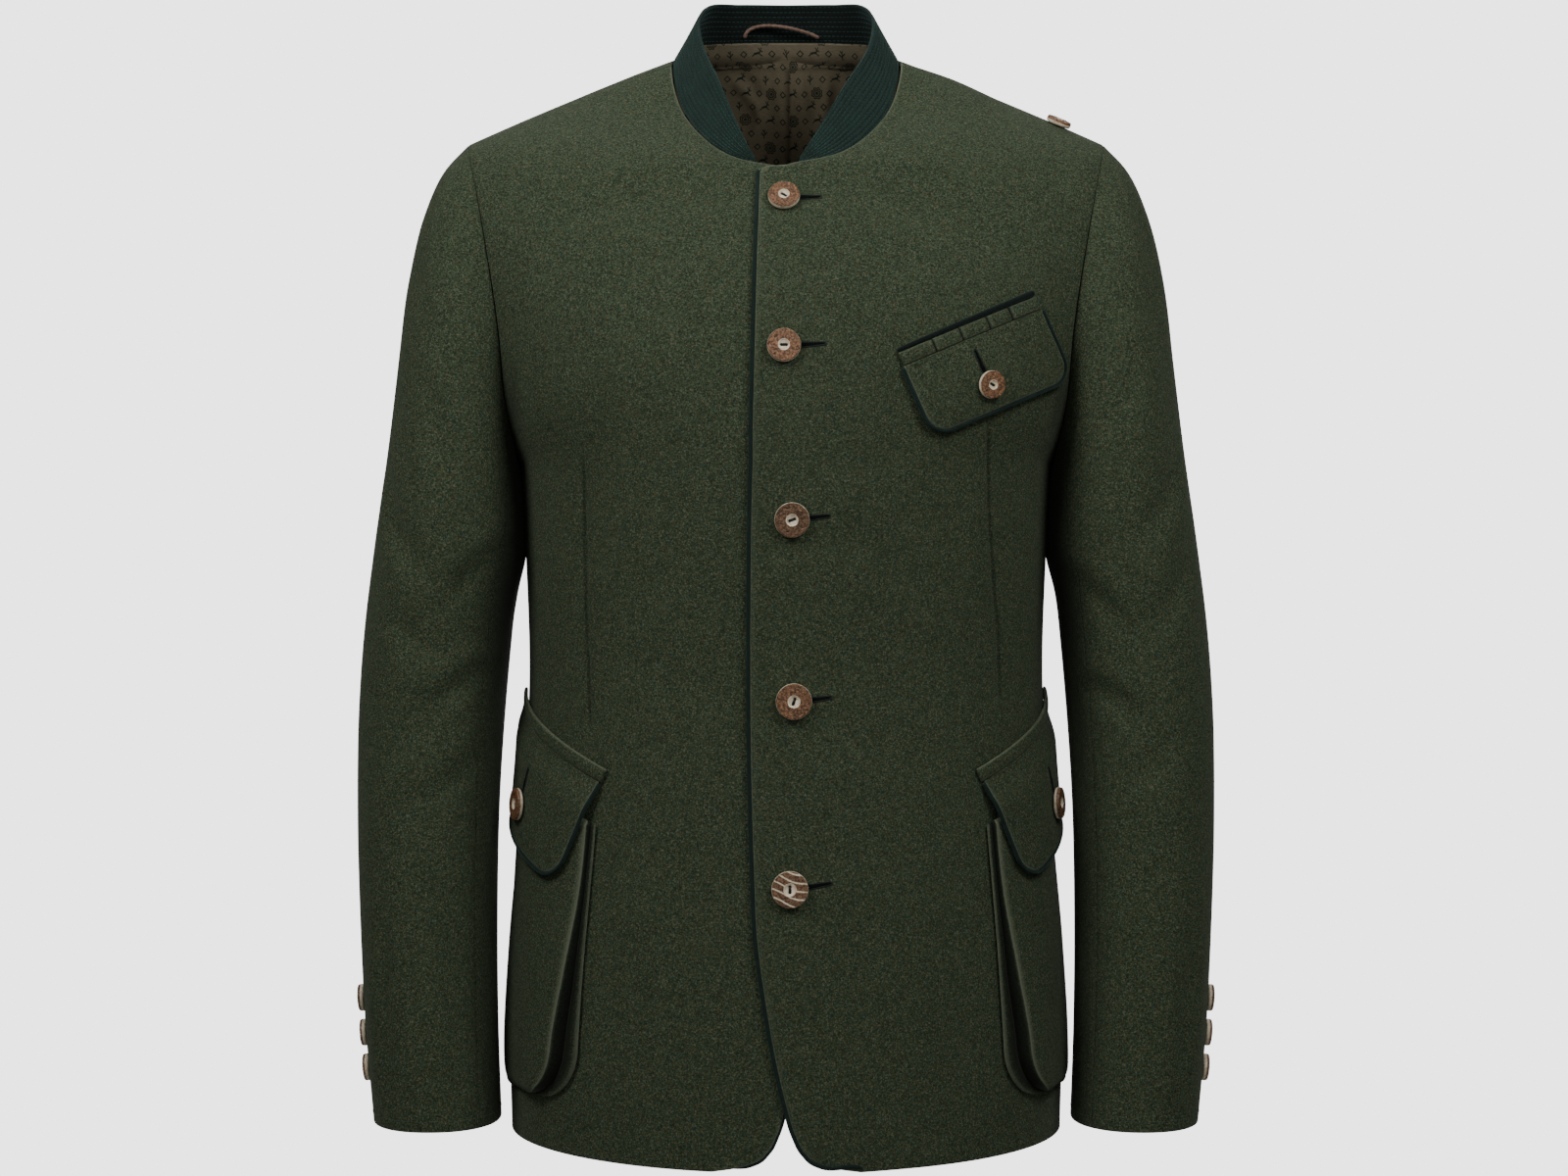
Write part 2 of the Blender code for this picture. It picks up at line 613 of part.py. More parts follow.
def build_back(group):
    """The back, in one piece, open at the neck line between its two shoulders."""
    level = np.concatenate([np.linspace(0, UNDERARM_LEVEL, 12),
                            np.linspace(UNDERARM_LEVEL, NAPE_LEVEL, 7)[1:],
                            np.linspace(NAPE_LEVEL, TOP_LEVEL, 8)[1:]])
    half = trimmed_shares(1, level, np.linspace(0, 1, BODY_COLUMNS)[None, :], NAPE_LEVEL)
    share = np.hstack([-half[:, ::-1], half])
    points, normals = read_half(1, level, share)
    mask = np.ones((len(level) - 1, share.shape[1] - 1), dtype=bool)
    mask[:, BODY_COLUMNS - 1] = False
    shell("back", points, lie(points, normals, np.full(share.shape, -WALL)), "loden", group, mask)


# ---------------------------------------------------------------- sleeves
SLEEVE_STEPS = np.concatenate([[0.0], np.cumsum(np.hypot(
    np.diff(SLEEVE["outer_x"] + SLEEVE["inner_x"]),
    np.diff(SLEEVE["outer_z"] + SLEEVE["inner_z"])))])
SLEEVE_LENGTH = SLEEVE_STEPS[-1]


def ring(column, angle):
    """A ring between its outer and inner end, a little squarer than an ellipse."""
    turn = np.radians(angle)
    across = np.sign(np.cos(turn)) * np.abs(np.cos(turn)) ** SLEEVE_SQUARE
    deep = np.sign(np.sin(turn)) * np.abs(np.sin(turn)) ** SLEEVE_SQUARE
    share = (1 + across) / 2
    x = column["inner_x"] + (column["outer_x"] - column["inner_x"]) * share
    z = column["inner_z"] + (column["outer_z"] - column["inner_z"]) * share
    return stack(x, column["middle_y"] - deep * column["half_depth"], z)


def sleeve_points(along, angle):
    """The left sleeve's outer face. Along is 0 at the armhole and 1 at the cuff."""
    at = along * SLEEVE_LENGTH
    here = ring({name: smooth(at, SLEEVE_STEPS, SLEEVE[name]) for name in SLEEVE}, angle)
    first = ring({name: SLEEVE[name][0] for name in SLEEVE}, angle)
    near = 1 - ease(at / SLEEVE_STEPS[SLEEVE_CAP_STEP])
    return here + (armhole_line(angle) - first) * near[..., None]


def make_sleeve():
    """A fine grid of the left sleeve, one turn and a half round so that seams can be read."""
    along = np.linspace(0, 1, 181)
    angle = np.linspace(-180, 360, 181)
    points = sleeve_points(along[:, None], angle[None, :])
    middle = points[:, :120].mean(axis=1, keepdims=True)
    return Lattice(along, angle, points, face_normals(points, points - middle))


SLEEVE_FORM = make_sleeve()


def hind_angle(along):
    """The hind seam swings from the back of the armhole to the outside of the cuff."""
    return HIND_SEAM_TOP + (HIND_SEAM_CUFF - HIND_SEAM_TOP) * ease(along / HIND_SEAM_REACH)


def build_sleeves(group):
    """An upper and an under sleeve on each side."""
    along = SLEEVE_START + (1 - SLEEVE_START) * np.linspace(0, 1, SLEEVE_ROWS) ** 1.25
    hind = hind_angle(along)[:, None]
    pieces = {
        "upper": np.hstack([hind, np.full(hind.shape, FRONT_SEAM_ANGLE)]),
        "under": np.hstack([np.full(hind.shape, FRONT_SEAM_ANGLE), hind + 360])}
    for part, ends in pieces.items():
        start, end = ends[:, :1] + SEAM_ANGLE_GAP, ends[:, 1:] - SEAM_ANGLE_GAP
        angle = start + (end - start) * np.linspace(0, 1, SLEEVE_COLUMNS[part])
        rows = np.broadcast_to(along[:, None], angle.shape)
        points, normals = SLEEVE_FORM.read(rows, angle)
        inner = lie(points, normals, np.full(angle.shape, -WALL))
        shell(f"sleeve_left_{part}", points, inner, "loden", group)
        shell(f"sleeve_right_{part}", mirrored(points), mirrored(inner), "loden", group)


# ---------------------------------------------------------------- neck
def collar_points(share, rise):
    """The collar's outer face: share -1 and 1 are its front ends, 0 the nape; rise 0 to 1."""
    part = 1 - np.abs(share)
    end = np.where(share < 0, COLLAR_END_RIGHT, COLLAR_END_LEFT)
    angle = end + (180 - end) * part
    side = np.where(share < 0, -1.0, 1.0)
    base = neck_line(angle) * stack(side, 1, 1)
    shift = COLLAR_SHIFT * (1 - ease(part / COLLAR_SHIFT_REACH))
    top = stack(side * smooth(part, COLLAR_TOP["share"], COLLAR_TOP["x"]) + shift,
                smooth(part, COLLAR_TOP["share"], COLLAR_TOP["y"]),
                smooth(part, COLLAR_TOP["share"], COLLAR_TOP["z"]))
    start = base + unit(top - base) * COLLAR_GAP
    return start + (top - start) * rise[..., None]


def collar_grid(columns, rows, start=-1.0, end=1.0, low=0.0, high=1.0):
    """Points and outward normals of the collar or a part of it."""
    share, rise = np.meshgrid(np.linspace(start, end, columns), np.linspace(low, high, rows))
    points = collar_points(share, rise)
    return points, face_normals(points, points * np.array((1, 1, 0)))


def build_neck(group):
    """Collar, the lining that shows inside the neck, and the hanger loop."""
    points, normals = collar_grid(COLLAR_COLUMNS, COLLAR_ROWS)
    inner = lie(points, normals, np.full(points.shape[:2], -COLLAR_WALL))
    shell("collar", points, inner, "green_cloth", group)

    # The lining starts a little way up the collar's inside and runs down behind the back.
    share = np.linspace(-LINING_SHARE, LINING_SHARE, LINING_COLUMNS)
    band, outward = collar_grid(len(share), 2, share[0], share[-1], 0.0, LINING_RISE)
    high = [lie(band[::-1], outward[::-1], np.full(band.shape[:2], -COLLAR_WALL - 3 * GAP - extra))
            for extra in (0.0, LINING_WALL)]
    drop = np.linspace(0, 1, LINING_ROWS)[1:, None]
    start = NAPE_LEVEL + (1 - NAPE_LEVEL) * 2 * np.abs(share)
    level = start + (LINING_LOW - start) * drop
    x = NECK_RADIUS * np.sin(np.pi * np.abs(share))
    x = x + (LINING_HALF_WIDTH * np.abs(share) / LINING_SHARE - x) * drop
    swing = np.clip((level - NAPE_LEVEL) / (1 - NAPE_LEVEL), 0, 1) * np.pi / 2
    neck_x = NECK_RADIUS * np.sin(swing)
    width = np.copysign(np.clip((x - neck_x) / (LINING_ROW_X - neck_x), 0.01, 1), share)
    points, normals = TORSO[1].read(level, np.abs(width))
    right = (width < 0)[..., None]
    points = np.where(right, mirrored(points), points)
    normals = np.where(right, mirrored(normals), normals)
    low = [lie(points, normals, np.full(level.shape, -WALL - LINING_UNDER - extra))
           for extra in (0.0, LINING_WALL)]
    shell("neck_lining", np.concatenate([high[0], low[0]]), np.concatenate([high[1], low[1]]),
          "lining", group)

    turn = np.linspace(0, np.pi, 13)
    loop = stack(LOOP_MIDDLE_X - LOOP_HALF_WIDTH * np.cos(turn), LOOP_Y - LOOP_BOW * np.sin(turn),
                 LOOP_Z + LOOP_HEIGHT * np.sin(turn) ** 0.6)
    cord("hanger_loop", loop, LOOP_RADIUS, "cord", group)


# ---------------------------------------------------------------- front edge piping
def build_edge_piping(group):
    """Dark green piping along both front edges, from the neck round the hem corner."""
    z = np.concatenate([CORNER_ROWS, np.linspace(CORNER_ROWS[-1], PIPING_TOP_Z, 18)[1:]])
    edge = smooth(z, FRONT_EDGE["z"], FRONT_EDGE["x"])
    for name, radius, lift, side in (("left", PIPING_RADIUS, WALL, 1),
                                     ("right", UNDER_PIPING_RADIUS, 0.0, -1)):
        share = edge / row_width(-1, level_of(z))
        points, normals = read_half(-1, level_of(z), share[:, None])
        points, normals = points[:, 0], normals[:, 0]
        along = unit(np.gradient(points, axis=0))
        out = unit(np.cross(normals, along))
        out = out * -np.sign(out[len(z) // 2, 0])
        height = lift + 2 * GAP * side - (WALL / 2 if side < 0 else PIPING_DROP)
        route = lie(lie(points, out, np.full(len(z), radius + GAP)), normals,
                    np.full(len(z), height))
        cord(f"edge_piping_{name}", route if side > 0 else mirrored(route), radius,
             "green_cloth", group)


# ---------------------------------------------------------------- pockets
def flap_outline(flap, down, columns):
    """Left and right ends of a flap's row at a distance down: straight, then round corners."""
    into = np.clip(down - (flap["height"] - flap["corner"]), 0, flap["corner"])
    round_in = flap["corner"] - np.sqrt(np.clip(flap["corner"] ** 2 - into ** 2, 0, None))
    half = flap["width"] / 2 - round_in
    return half[:, None] * np.linspace(-1, 1, columns)


def flap_rows(flap, rows):
    """Distances down a flap, closer together at its round corners."""
    turn = np.linspace(0, np.radians(80), 5)
    corner = flap["height"] - flap["corner"] + flap["corner"] * np.sin(turn)
    return np.concatenate([np.linspace(0, corner[0], rows)[:-1], corner])


def flap_edge(flap, offset, steps=6):
    """Route round a flap's sides and bottom, outside its edge by an offset."""
    half, low, radius = flap["width"] / 2, flap["height"], flap["corner"]
    turn = np.linspace(0, np.pi / 2, 6)
    side_d = np.linspace(0.001, low - radius, steps)[:-1]
    corner_w = half - radius + (radius + offset) * np.cos(turn)
    corner_d = low - radius + (radius + offset) * np.sin(turn)
    bottom_w = np.linspace(half - radius, radius - half, 8)[1:-1]
    w = np.concatenate([0 * side_d + half + offset, corner_w, bottom_w,
                        -corner_w[::-1], 0 * side_d - half - offset])
    d = np.concatenate([side_d, corner_d, 0 * bottom_w + low + offset,
                        corner_d[::-1], side_d[::-1]])
    return w, d


def side_place(side, w, d, height):
    """A point of a side pocket from its pocket frame, with the height off the body."""
    arc = SIDE_ARC[side] + w * np.cos(SIDE_SLANT) + d * np.sin(SIDE_SLANT)
    z = SIDE_TOP_Z + w * np.sin(SIDE_SLANT) - d * np.cos(SIDE_SLANT)
    points, normals = around_side(z, arc)
    placed = lie(points, normals, height)
    return placed if side == "left" else mirrored(placed)


def side_flap_height(d):
    """How far a side flap's inner face stands off: flat at the top, then over the bag."""
    over_bag = SIDE_FLAP_STAND * ease(d / SIDE_FLAP_STAND_BY)
    swell = SIDE_FLAP_SWELL * ease((d - SIDE_FLAP_SWELL_FROM) / SIDE_FLAP_SWELL_OVER)
    return TRIM_UNDER + over_bag + swell


def build_bag(side, group):
    """A bellows bag as one closed solid: a sewn rim, a gusset that goes in, a raised face."""
    middle = SIDE_ARC[side]
    low, high = middle + BAG_REACH[0], middle + BAG_REACH[1]
    turn = np.concatenate([np.linspace(np.radians(BAG_CORNER_TURN), 0, 4), np.zeros(BAG_ROWS)])
    rise = np.concatenate([np.zeros(4), np.linspace(0, 1, BAG_ROWS + 1)[1:]])
    top_z = SIDE_TOP_Z - BAG_TOP_DOWN / np.cos(SIDE_SLANT)
    arcs, heights, depths = [], [], []
    for k, (angle, share) in enumerate(zip(turn, rise)):
        inset = BAG_CORNER * (1 - np.cos(angle))
        flat_z = BAG_BOTTOM_Z + BAG_CORNER * (1 - np.sin(angle))
        row_z = flat_z + share * (top_z - flat_z)
        lift, foot = (smooth(row_z, BAG_LIFT["z"], BAG_LIFT[name]) for name in ("lift", "gusset"))
        start, end = low + inset, high - inset
        arc = np.concatenate([start + foot * np.array(BAG_FOOT),
                              np.linspace(start + foot + BAG_STEP, end - foot - BAG_STEP, 6),
                              end - foot * np.array(BAG_FOOT[::-1])])
        slanted = top_z + (arc - middle) * np.tan(SIDE_SLANT)
        rim = np.array(BAG_RIM) * (WALL + BAG_UNDER)
        face = np.array(BAG_FACE) * (lift + BAG_UNDER)
        if k in (0, len(turn) - 1):
            face = np.full(6, WALL + BAG_UNDER)
        arcs.append(arc)
        heights.append(flat_z + share * (slanted - flat_z))
        depths.append(np.concatenate([rim, face, rim[::-1]]))
    points, normals = around_side(np.array(heights), np.array(arcs))
    outer = lie(points, normals, np.array(depths))
    inner = lie(points, normals, np.full(points.shape[:2], BAG_UNDER))
    if side == "right":
        outer, inner = mirrored(outer), mirrored(inner)
    shell(f"side_bag_{side}", outer, inner, "loden", group)


def build_side_pocket(side, group):
    """Bellows bag, welt, flap, the flap's piping and its button."""
    build_bag(side, group)
    rows = flap_rows(SIDE_FLAP, 5)
    w = flap_outline(SIDE_FLAP, rows, 9)
    d = np.broadcast_to(rows[:, None], w.shape)
    stand = side_flap_height(d)
    shell(f"side_flap_{side}", side_place(side, w, d, stand + WALL),
          side_place(side, w, d, stand), "loden", group)
    w, d = flap_edge(SIDE_FLAP, PIPING_RADIUS + GAP)
    cord(f"side_flap_piping_{side}",
         side_place(side, w, d, side_flap_height(d) + PIPING_RADIUS), PIPING_RADIUS,
         "green_cloth", group)
    build_band(f"side_welt_{side}", partial(side_place, side),
               SIDE_FLAP["width"] + WELT_OVERHANG, -GAP - WELT_HEIGHT, -GAP, "loden", group)
    w, d = np.zeros(1), np.full(1, SIDE_BUTTON_DOWN)
    base, above = (side_place(side, w, d, side_flap_height(d) + WALL + step)[0]
                   for step in (0.0, 0.01))
    button(f"button_side_{side}", base, unit(above - base), SIDE_BUTTON_DIAMETER, group)


def build_band(name, place, width, top, bottom, kind, group):
    """A narrow strip with a rounded face along a pocket's top."""
    w = np.linspace(-width / 2, width / 2, 11)
    d = top + (bottom - top) * BAND_ACROSS
    height = TRIM_UNDER + WALL + BAND_FACE
    w, d = np.meshgrid(w, d)
    outer = place(w, d, np.broadcast_to(height[:, None], w.shape))
    inner = place(w, d, np.full(w.shape, TRIM_UNDER))
    shell(name, outer, inner, kind, group)


def chest_place(w, d, height):
    """A point of the chest pocket from its pocket frame, with the height off the body."""
    x = CHEST_TOP_MIDDLE[0] + w * np.cos(CHEST_SLANT) + d * np.sin(CHEST_SLANT)
    z = CHEST_TOP_MIDDLE[1] + w * np.sin(CHEST_SLANT) - d * np.cos(CHEST_SLANT)
    points, normals = seen_from_front(x, z)
    return lie(points, normals, height)


def chest_flap_height(d):
    """The chest flap lies almost flat and lifts a little toward its lower edge."""
    return TRIM_UNDER + CHEST_FLAP_STAND * ease(d / CHEST_FLAP_STAND_BY)


def build_chest_pocket(group):
    """Piping, band, flap with its piping, and button on the wearer's left chest."""
    rows = flap_rows(CHEST_FLAP, 4)
    w = flap_outline(CHEST_FLAP, rows, 8)
    d = np.broadcast_to(rows[:, None], w.shape)
    stand = chest_flap_height(d)
    shell("chest_flap", chest_place(w, d, stand + WALL), chest_place(w, d, stand), "loden", group)
    w, d = flap_edge(CHEST_FLAP, PIPING_RADIUS + GAP, 4)
    cord("chest_flap_piping", chest_place(w, d, chest_flap_height(d) + PIPING_RADIUS),
         PIPING_RADIUS, "green_cloth", group)
    build_band("chest_band", chest_place, CHEST_FLAP["width"], -GAP - CHEST_BAND_HEIGHT, -GAP,
               "loden", group)
    w = np.linspace(-0.5, 0.5, 10) * CHEST_FLAP["width"]
    d = np.full(w.shape, -CHEST_BAND_HEIGHT - 2 * GAP - PIPING_RADIUS)
    cord("chest_piping", chest_place(w, d, np.full(w.shape, PIPING_RADIUS + TRIM_UNDER)),
         PIPING_RADIUS, "green_cloth", group)
    w, d = np.full(1, CHEST_BUTTON_ASIDE), np.full(1, CHEST_BUTTON_DOWN)
    base, above = (chest_place(w, d, chest_flap_height(d) + WALL + step)[0]
                   for step in (0.0, 0.01))
    button("button_chest", base, unit(above - base), CHEST_BUTTON_DIAMETER, group)


# ---------------------------------------------------------------- buttons on the panels
def build_buttons(group):
    """Five down the front, three on each cuff and one on the left shoulder."""
    for k in range(len(BUTTONS_FRONT["x"])):
        x, z = BUTTONS_FRONT["x"][k:k + 1], BUTTONS_FRONT["z"][k:k + 1]
        place, normal = seen_from_front(np.abs(x), z)
        side = np.sign(x[0])
        turned = np.array((side, 1.0, 1.0))
        button(f"button_front_{k + 1}", place[0] * turned, normal[0] * turned,
               BUTTONS_FRONT["diameter"][k], group)
    grid_z = SLEEVE_FORM.read(np.linspace(0, 1, 200), np.full(200, SLEEVE_BUTTON_ANGLE))[0][:, 2]
    for k, z in enumerate(SLEEVE_BUTTON_Z):
        along = np.interp(-z, -grid_z, np.linspace(0, 1, 200))
        place, normal = SLEEVE_FORM.read(np.full(1, along), np.full(1, SLEEVE_BUTTON_ANGLE))
        button(f"button_sleeve_left_{k + 1}", place[0], normal[0], SLEEVE_BUTTON_DIAMETER, group)
        button(f"button_sleeve_right_{k + 1}", mirrored(place[0]), mirrored(normal[0]),
               SLEEVE_BUTTON_DIAMETER, group)
    place, normal = TORSO[-1].read(np.full(1, SHOULDER_BUTTON["level"]),
                                   np.full(1, SHOULDER_BUTTON["share"]))
    button("button_shoulder", place[0], unit(normal[0]), SHOULDER_BUTTON["diameter"], group)


def main():
    """Clear the scene and build the jacket."""
    for old in list(bpy.data.objects):
        bpy.data.objects.remove(old, do_unlink=True)
    group = bpy.data.collections.new("tyrolean_loden_jacket")
    bpy.context.scene.collection.children.link(group)
    build_back(group)
    build_fronts(group)
    build_sleeves(group)
    build_neck(group)
    build_edge_piping(group)
    build_chest_pocket(group)
    for side in ("left", "right"):
        build_side_pocket(side, group)
    build_buttons(group)


main()
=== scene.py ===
# %% [markdown]
# # A Tyrolean loden jacket
#
# The jacket stands filled out as if someone wore it. Its solid pieces come from the frame:
# fronts, back, two-piece sleeves, stand collar, pockets, piping and horn buttons. This lesson
# gives every piece its real look. Cloth becomes a thin shell with turned edges and soft creases,
# the collar gets its rows of stitching, the buttons get their bark, and wool, lining and horn get
# their materials.
#
# All sizes are metres. +Z is up, the front faces -Y and the wearer's left is +X.

# %% Load the frame
from functools import partial

import bpy
import numpy as np
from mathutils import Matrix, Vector


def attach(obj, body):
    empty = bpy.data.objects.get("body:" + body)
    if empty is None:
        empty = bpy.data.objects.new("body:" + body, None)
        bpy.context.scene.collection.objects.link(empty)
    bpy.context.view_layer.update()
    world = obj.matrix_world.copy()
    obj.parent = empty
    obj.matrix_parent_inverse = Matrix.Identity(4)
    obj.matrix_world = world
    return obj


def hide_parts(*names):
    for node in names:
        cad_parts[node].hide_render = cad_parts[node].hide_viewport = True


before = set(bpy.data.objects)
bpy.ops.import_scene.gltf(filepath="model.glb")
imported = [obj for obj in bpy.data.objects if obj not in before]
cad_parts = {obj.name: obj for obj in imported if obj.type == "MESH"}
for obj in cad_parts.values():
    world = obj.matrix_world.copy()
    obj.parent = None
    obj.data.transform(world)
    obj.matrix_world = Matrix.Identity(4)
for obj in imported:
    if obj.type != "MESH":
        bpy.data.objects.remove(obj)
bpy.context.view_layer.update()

# %% [markdown]
# ## Driving sizes
#
# The cloth pieces follow the same sizes as the solids they stand for, at a finer step, so each
# one lies exactly where its node is. A garment is easiest to drive from rows: the body has a half
# width and two depths at each height, and a sleeve has an outer and an inner edge at each ring.

# %% Walls and gaps
WALL = 0.0022            # loden cloth
COLLAR_WALL = 0.0030     # collar cloth, two layers stitched through
LINING_WALL = 0.0010
GAP = 0.0003             # between two pieces
PIPING_RADIUS = 0.0014
UNDER_PIPING_RADIUS = 0.0011
LOOP_RADIUS = 0.0012
TRIM_UNDER = 0.0008      # between the body and what is sewn on it
BAG_UNDER = 0.0012       # between the body and a side bag
SIDES = ("left", "right")


def table(names, *rows):
    """A short table as a dictionary of columns."""
    return dict(zip(names.split(), np.array(rows, dtype=float).T))


# %% Body sizes
HEM_Z = -0.7250
UNDERARM_Z = -0.2700
PIT_Z = -0.0775          # lowest point of the neck line, at the front
NAPE_Z = 0.0140
UNDERARM_LEVEL = 0.60
PIT_SHARE = 0.61         # where the neck line starts between underarm and shoulder, in front
NAPE_SHARE = 0.70        # and behind
SIDE_RISE = 0.0045       # how much higher the hem is at the side seam
SIDE_RISE_FADE = 0.060
NECK_RADIUS = 0.0775
SEAM_Y = 0.010
ARMHOLE_MIDDLE_Z = -0.162
ARMHOLE_HALF = (0.066, 0.108)    # half its depth and half its height
ARMHOLE_SQUARE = 0.9     # under 1, its corners are fuller than an ellipse's
BACK_WIDTH = 0.007       # how much further out the back half of the armhole lies
OVERLAP_FLAT = 0.030     # half the width over which the top front lies raised
OVERLAP_EASE = 0.050
FRONT_PULL = 0.60        # how far the curves keep to the front, the side and the back
SIDE_PULL = 0.56
BACK_PULL = 0.58

BODY = table(
    "z        half_width  front   back",
    (-0.7250, 0.1862,     0.1360, 0.1310),
    (-0.6900, 0.1870,     0.1345, 0.1300),
    (-0.6000, 0.1842,     0.1300, 0.1240),
    (-0.5000, 0.1788,     0.1230, 0.1100),
    (-0.4150, 0.1745,     0.1185, 0.1000),
    (-0.3300, 0.1770,     0.1225, 0.1080),
    (-0.2700, 0.1800,     0.1260, 0.1190),
    (-0.2200, 0.1830,     0.1255, 0.1240),
    (-0.1700, 0.1850,     0.1185, 0.1245),
    (-0.1200, 0.1850,     0.1010, 0.1180),
    (-0.0775, 0.1850,     0.0770, 0.1080),
    (-0.0300, 0.1850,     0.0600, 0.0860),
    (0.0140, 0.1850,      0.0600, 0.0630))

NECK = table(
    "angle  y        z",
    (0,    -0.0770, -0.0775),
    (30,   -0.0655, -0.0671),
    (60,   -0.0355, -0.0388),
    (90,   0.0050,  0.0000),
    (120,  0.0370,  0.0085),
    (150,  0.0565,  0.0128),
    (180,  0.0630,  0.0140))

ARMHOLE_X = table(
    "z        x",
    (-0.2700, 0.1800),
    (-0.2340, 0.1865),
    (-0.1840, 0.1905),
    (-0.1310, 0.1985),
    (-0.0880, 0.2070),
    (-0.0540, 0.2155))

YOKE_FRONT = table(
    "share in_pull in_x in_y   in_z   out_pull out_x out_y out_z",
    (0.00, 0.1060, 1.0, 0.00,  0.00,  0.0760, 0.00, 1.00, 0.00),
    (0.20, 0.0960, 1.0, 0.00,  0.00,  0.0740, 0.28, 0.95, 0.03),
    (0.40, 0.0800, 1.0, 0.00,  0.00,  0.0690, 0.58, 0.81, 0.00),
    (0.60, 0.0600, 1.0, 0.00,  0.00,  0.0600, 0.80, 0.60, -0.08),
    (0.80, 0.0500, 1.0, -0.22, -0.16, 0.0500, 0.93, 0.30, -0.24),
    (1.00, 0.0450, 1.0, 0.02,  -0.30, 0.0450, 0.90, 0.02, -0.44))

YOKE_BACK = table(
    "share in_pull in_x in_y   in_z   out_pull out_x out_y  out_z",
    (0.00, 0.1060, 1.0, 0.00,  0.00,  0.0700, 0.00, -1.00, 0.00),
    (0.20, 0.1000, 1.0, 0.00,  0.00,  0.0700, 0.30, -0.95, 0.03),
    (0.40, 0.0900, 1.0, 0.00,  0.00,  0.0690, 0.62, -0.79, 0.00),
    (0.70, 0.0680, 1.0, 0.00,  0.00,  0.0580, 0.88, -0.45, -0.14),
    (0.85, 0.0520, 1.0, 0.10,  -0.42, 0.0500, 0.93, -0.22, -0.28),
    (1.00, 0.0450, 1.0, 0.02,  -0.30, 0.0450, 0.90, 0.02,  -0.44))

FRONT_EDGE = table(      # the free edge of the top front, from the round hem corner to the neck
    "z        x",
    (-0.7250, 0.0480),
    (-0.7222, 0.0318),
    (-0.7183, 0.0194),
    (-0.7121, 0.0119),
    (-0.7015, 0.0060),
    (-0.6834, 0.0003),
    (-0.6520, -0.0070),
    (-0.6150, -0.0135),
    (-0.5770, -0.0187),
    (-0.5300, -0.0208),
    (-0.2000, -0.0205),
    (-0.0775, -0.0172))

# %% Sleeve sizes
# Below the underarm the inner side leans toward the body, so that no light shows between them.
SLEEVE = table(
    "outer_x outer_z  inner_x inner_z  middle_y half_depth",
    (0.2155, -0.0540, 0.1803, -0.2700, 0.0100,  0.0660),
    (0.2310, -0.0710, 0.1790, -0.2790, 0.0080,  0.0700),
    (0.2450, -0.1020, 0.1778, -0.2900, 0.0060,  0.0725),
    (0.2550, -0.1480, 0.1768, -0.3020, 0.0040,  0.0735),
    (0.2618, -0.2000, 0.1764, -0.3160, 0.0030,  0.0735),
    (0.2690, -0.2600, 0.1770, -0.3340, 0.0020,  0.0720),
    (0.2775, -0.3200, 0.1832, -0.3600, 0.0020,  0.0700),
    (0.2850, -0.3800, 0.1872, -0.3960, 0.0020,  0.0670),
    (0.2885, -0.4300, 0.1905, -0.4360, 0.0000,  0.0645),
    (0.2890, -0.5000, 0.1940, -0.5000, -0.0060, 0.0615),
    (0.2860, -0.5800, 0.1948, -0.5800, -0.0140, 0.0590),
    (0.2815, -0.6500, 0.1935, -0.6500, -0.0210, 0.0565),
    (0.2755, -0.7100, 0.1910, -0.7095, -0.0260, 0.0545))
SLEEVE_SQUARE = 0.92
FRONT_SEAM_ANGLE = 138.0     # degrees round the sleeve: 0 outside, 90 front, 180 inside
HIND_SEAM_TOP = -64.0
HIND_SEAM_CUFF = -18.0
HIND_SEAM_REACH = 0.91
SLEEVE_CAP_STEP = 3      # the ring down to which the armhole's shape fades out

# %% Collar sizes
COLLAR_END_LEFT = 5.5    # degrees round the neck line at which the collar starts
COLLAR_END_RIGHT = 14.0
COLLAR_SHIFT = -0.0057   # the opening's top edge lies this far to the wearer's right
COLLAR_SHIFT_REACH = 0.42
COLLAR_TOP = table(
    "share  x       y        z",
    (0.00,  0.0128, -0.0722, -0.0740),
    (0.12,  0.0270, -0.0560, -0.0475),
    (0.25,  0.0420, -0.0365, -0.0170),
    (0.40,  0.0568, -0.0100, 0.0130),
    (0.47,  0.0600, 0.0040,  0.0275),
    (0.56,  0.0583, 0.0175,  0.0385),
    (0.65,  0.0530, 0.0300,  0.0450),
    (0.82,  0.0320, 0.0460,  0.0480),
    (1.00,  0.0000, 0.0515,  0.0485))

# %% Pocket sizes
SIDE_SLANT = np.radians(22.0)
SIDE_FLAP = {"width": 0.126, "height": 0.072, "corner": 0.018}
SIDE_FLAP_STAND = 0.0044         # the flap rises this much over the bag
SIDE_FLAP_STAND_BY = 0.022
SIDE_FLAP_SWELL = 0.0010
SIDE_FLAP_SWELL_FROM = 0.030
SIDE_FLAP_SWELL_OVER = 0.050
SIDE_TOP_Z = -0.4555
SIDE_ARC = {"left": -0.052, "right": -0.061}     # middle of the pocket, from the side seam
SIDE_BUTTON_DOWN = 0.047
WELT_HEIGHT = 0.0090
WELT_OVERHANG = 0.004
BAG_BOTTOM_Z = -0.6880
BAG_CORNER = 0.034
BAG_TOP_DOWN = 0.026
BAG_REACH = (-0.059, 0.063)
BAG_LIFT = table(
    "z        lift    gusset",
    (-0.6900, 0.0095, 0.0150),
    (-0.6500, 0.0105, 0.0130),
    (-0.6000, 0.0085, 0.0080),
    (-0.5450, 0.0038, 0.0050),
    (-0.4300, 0.0034, 0.0040))
CHEST_SLANT = np.radians(23.3)
CHEST_TOP_MIDDLE = (0.1204, -0.1906)
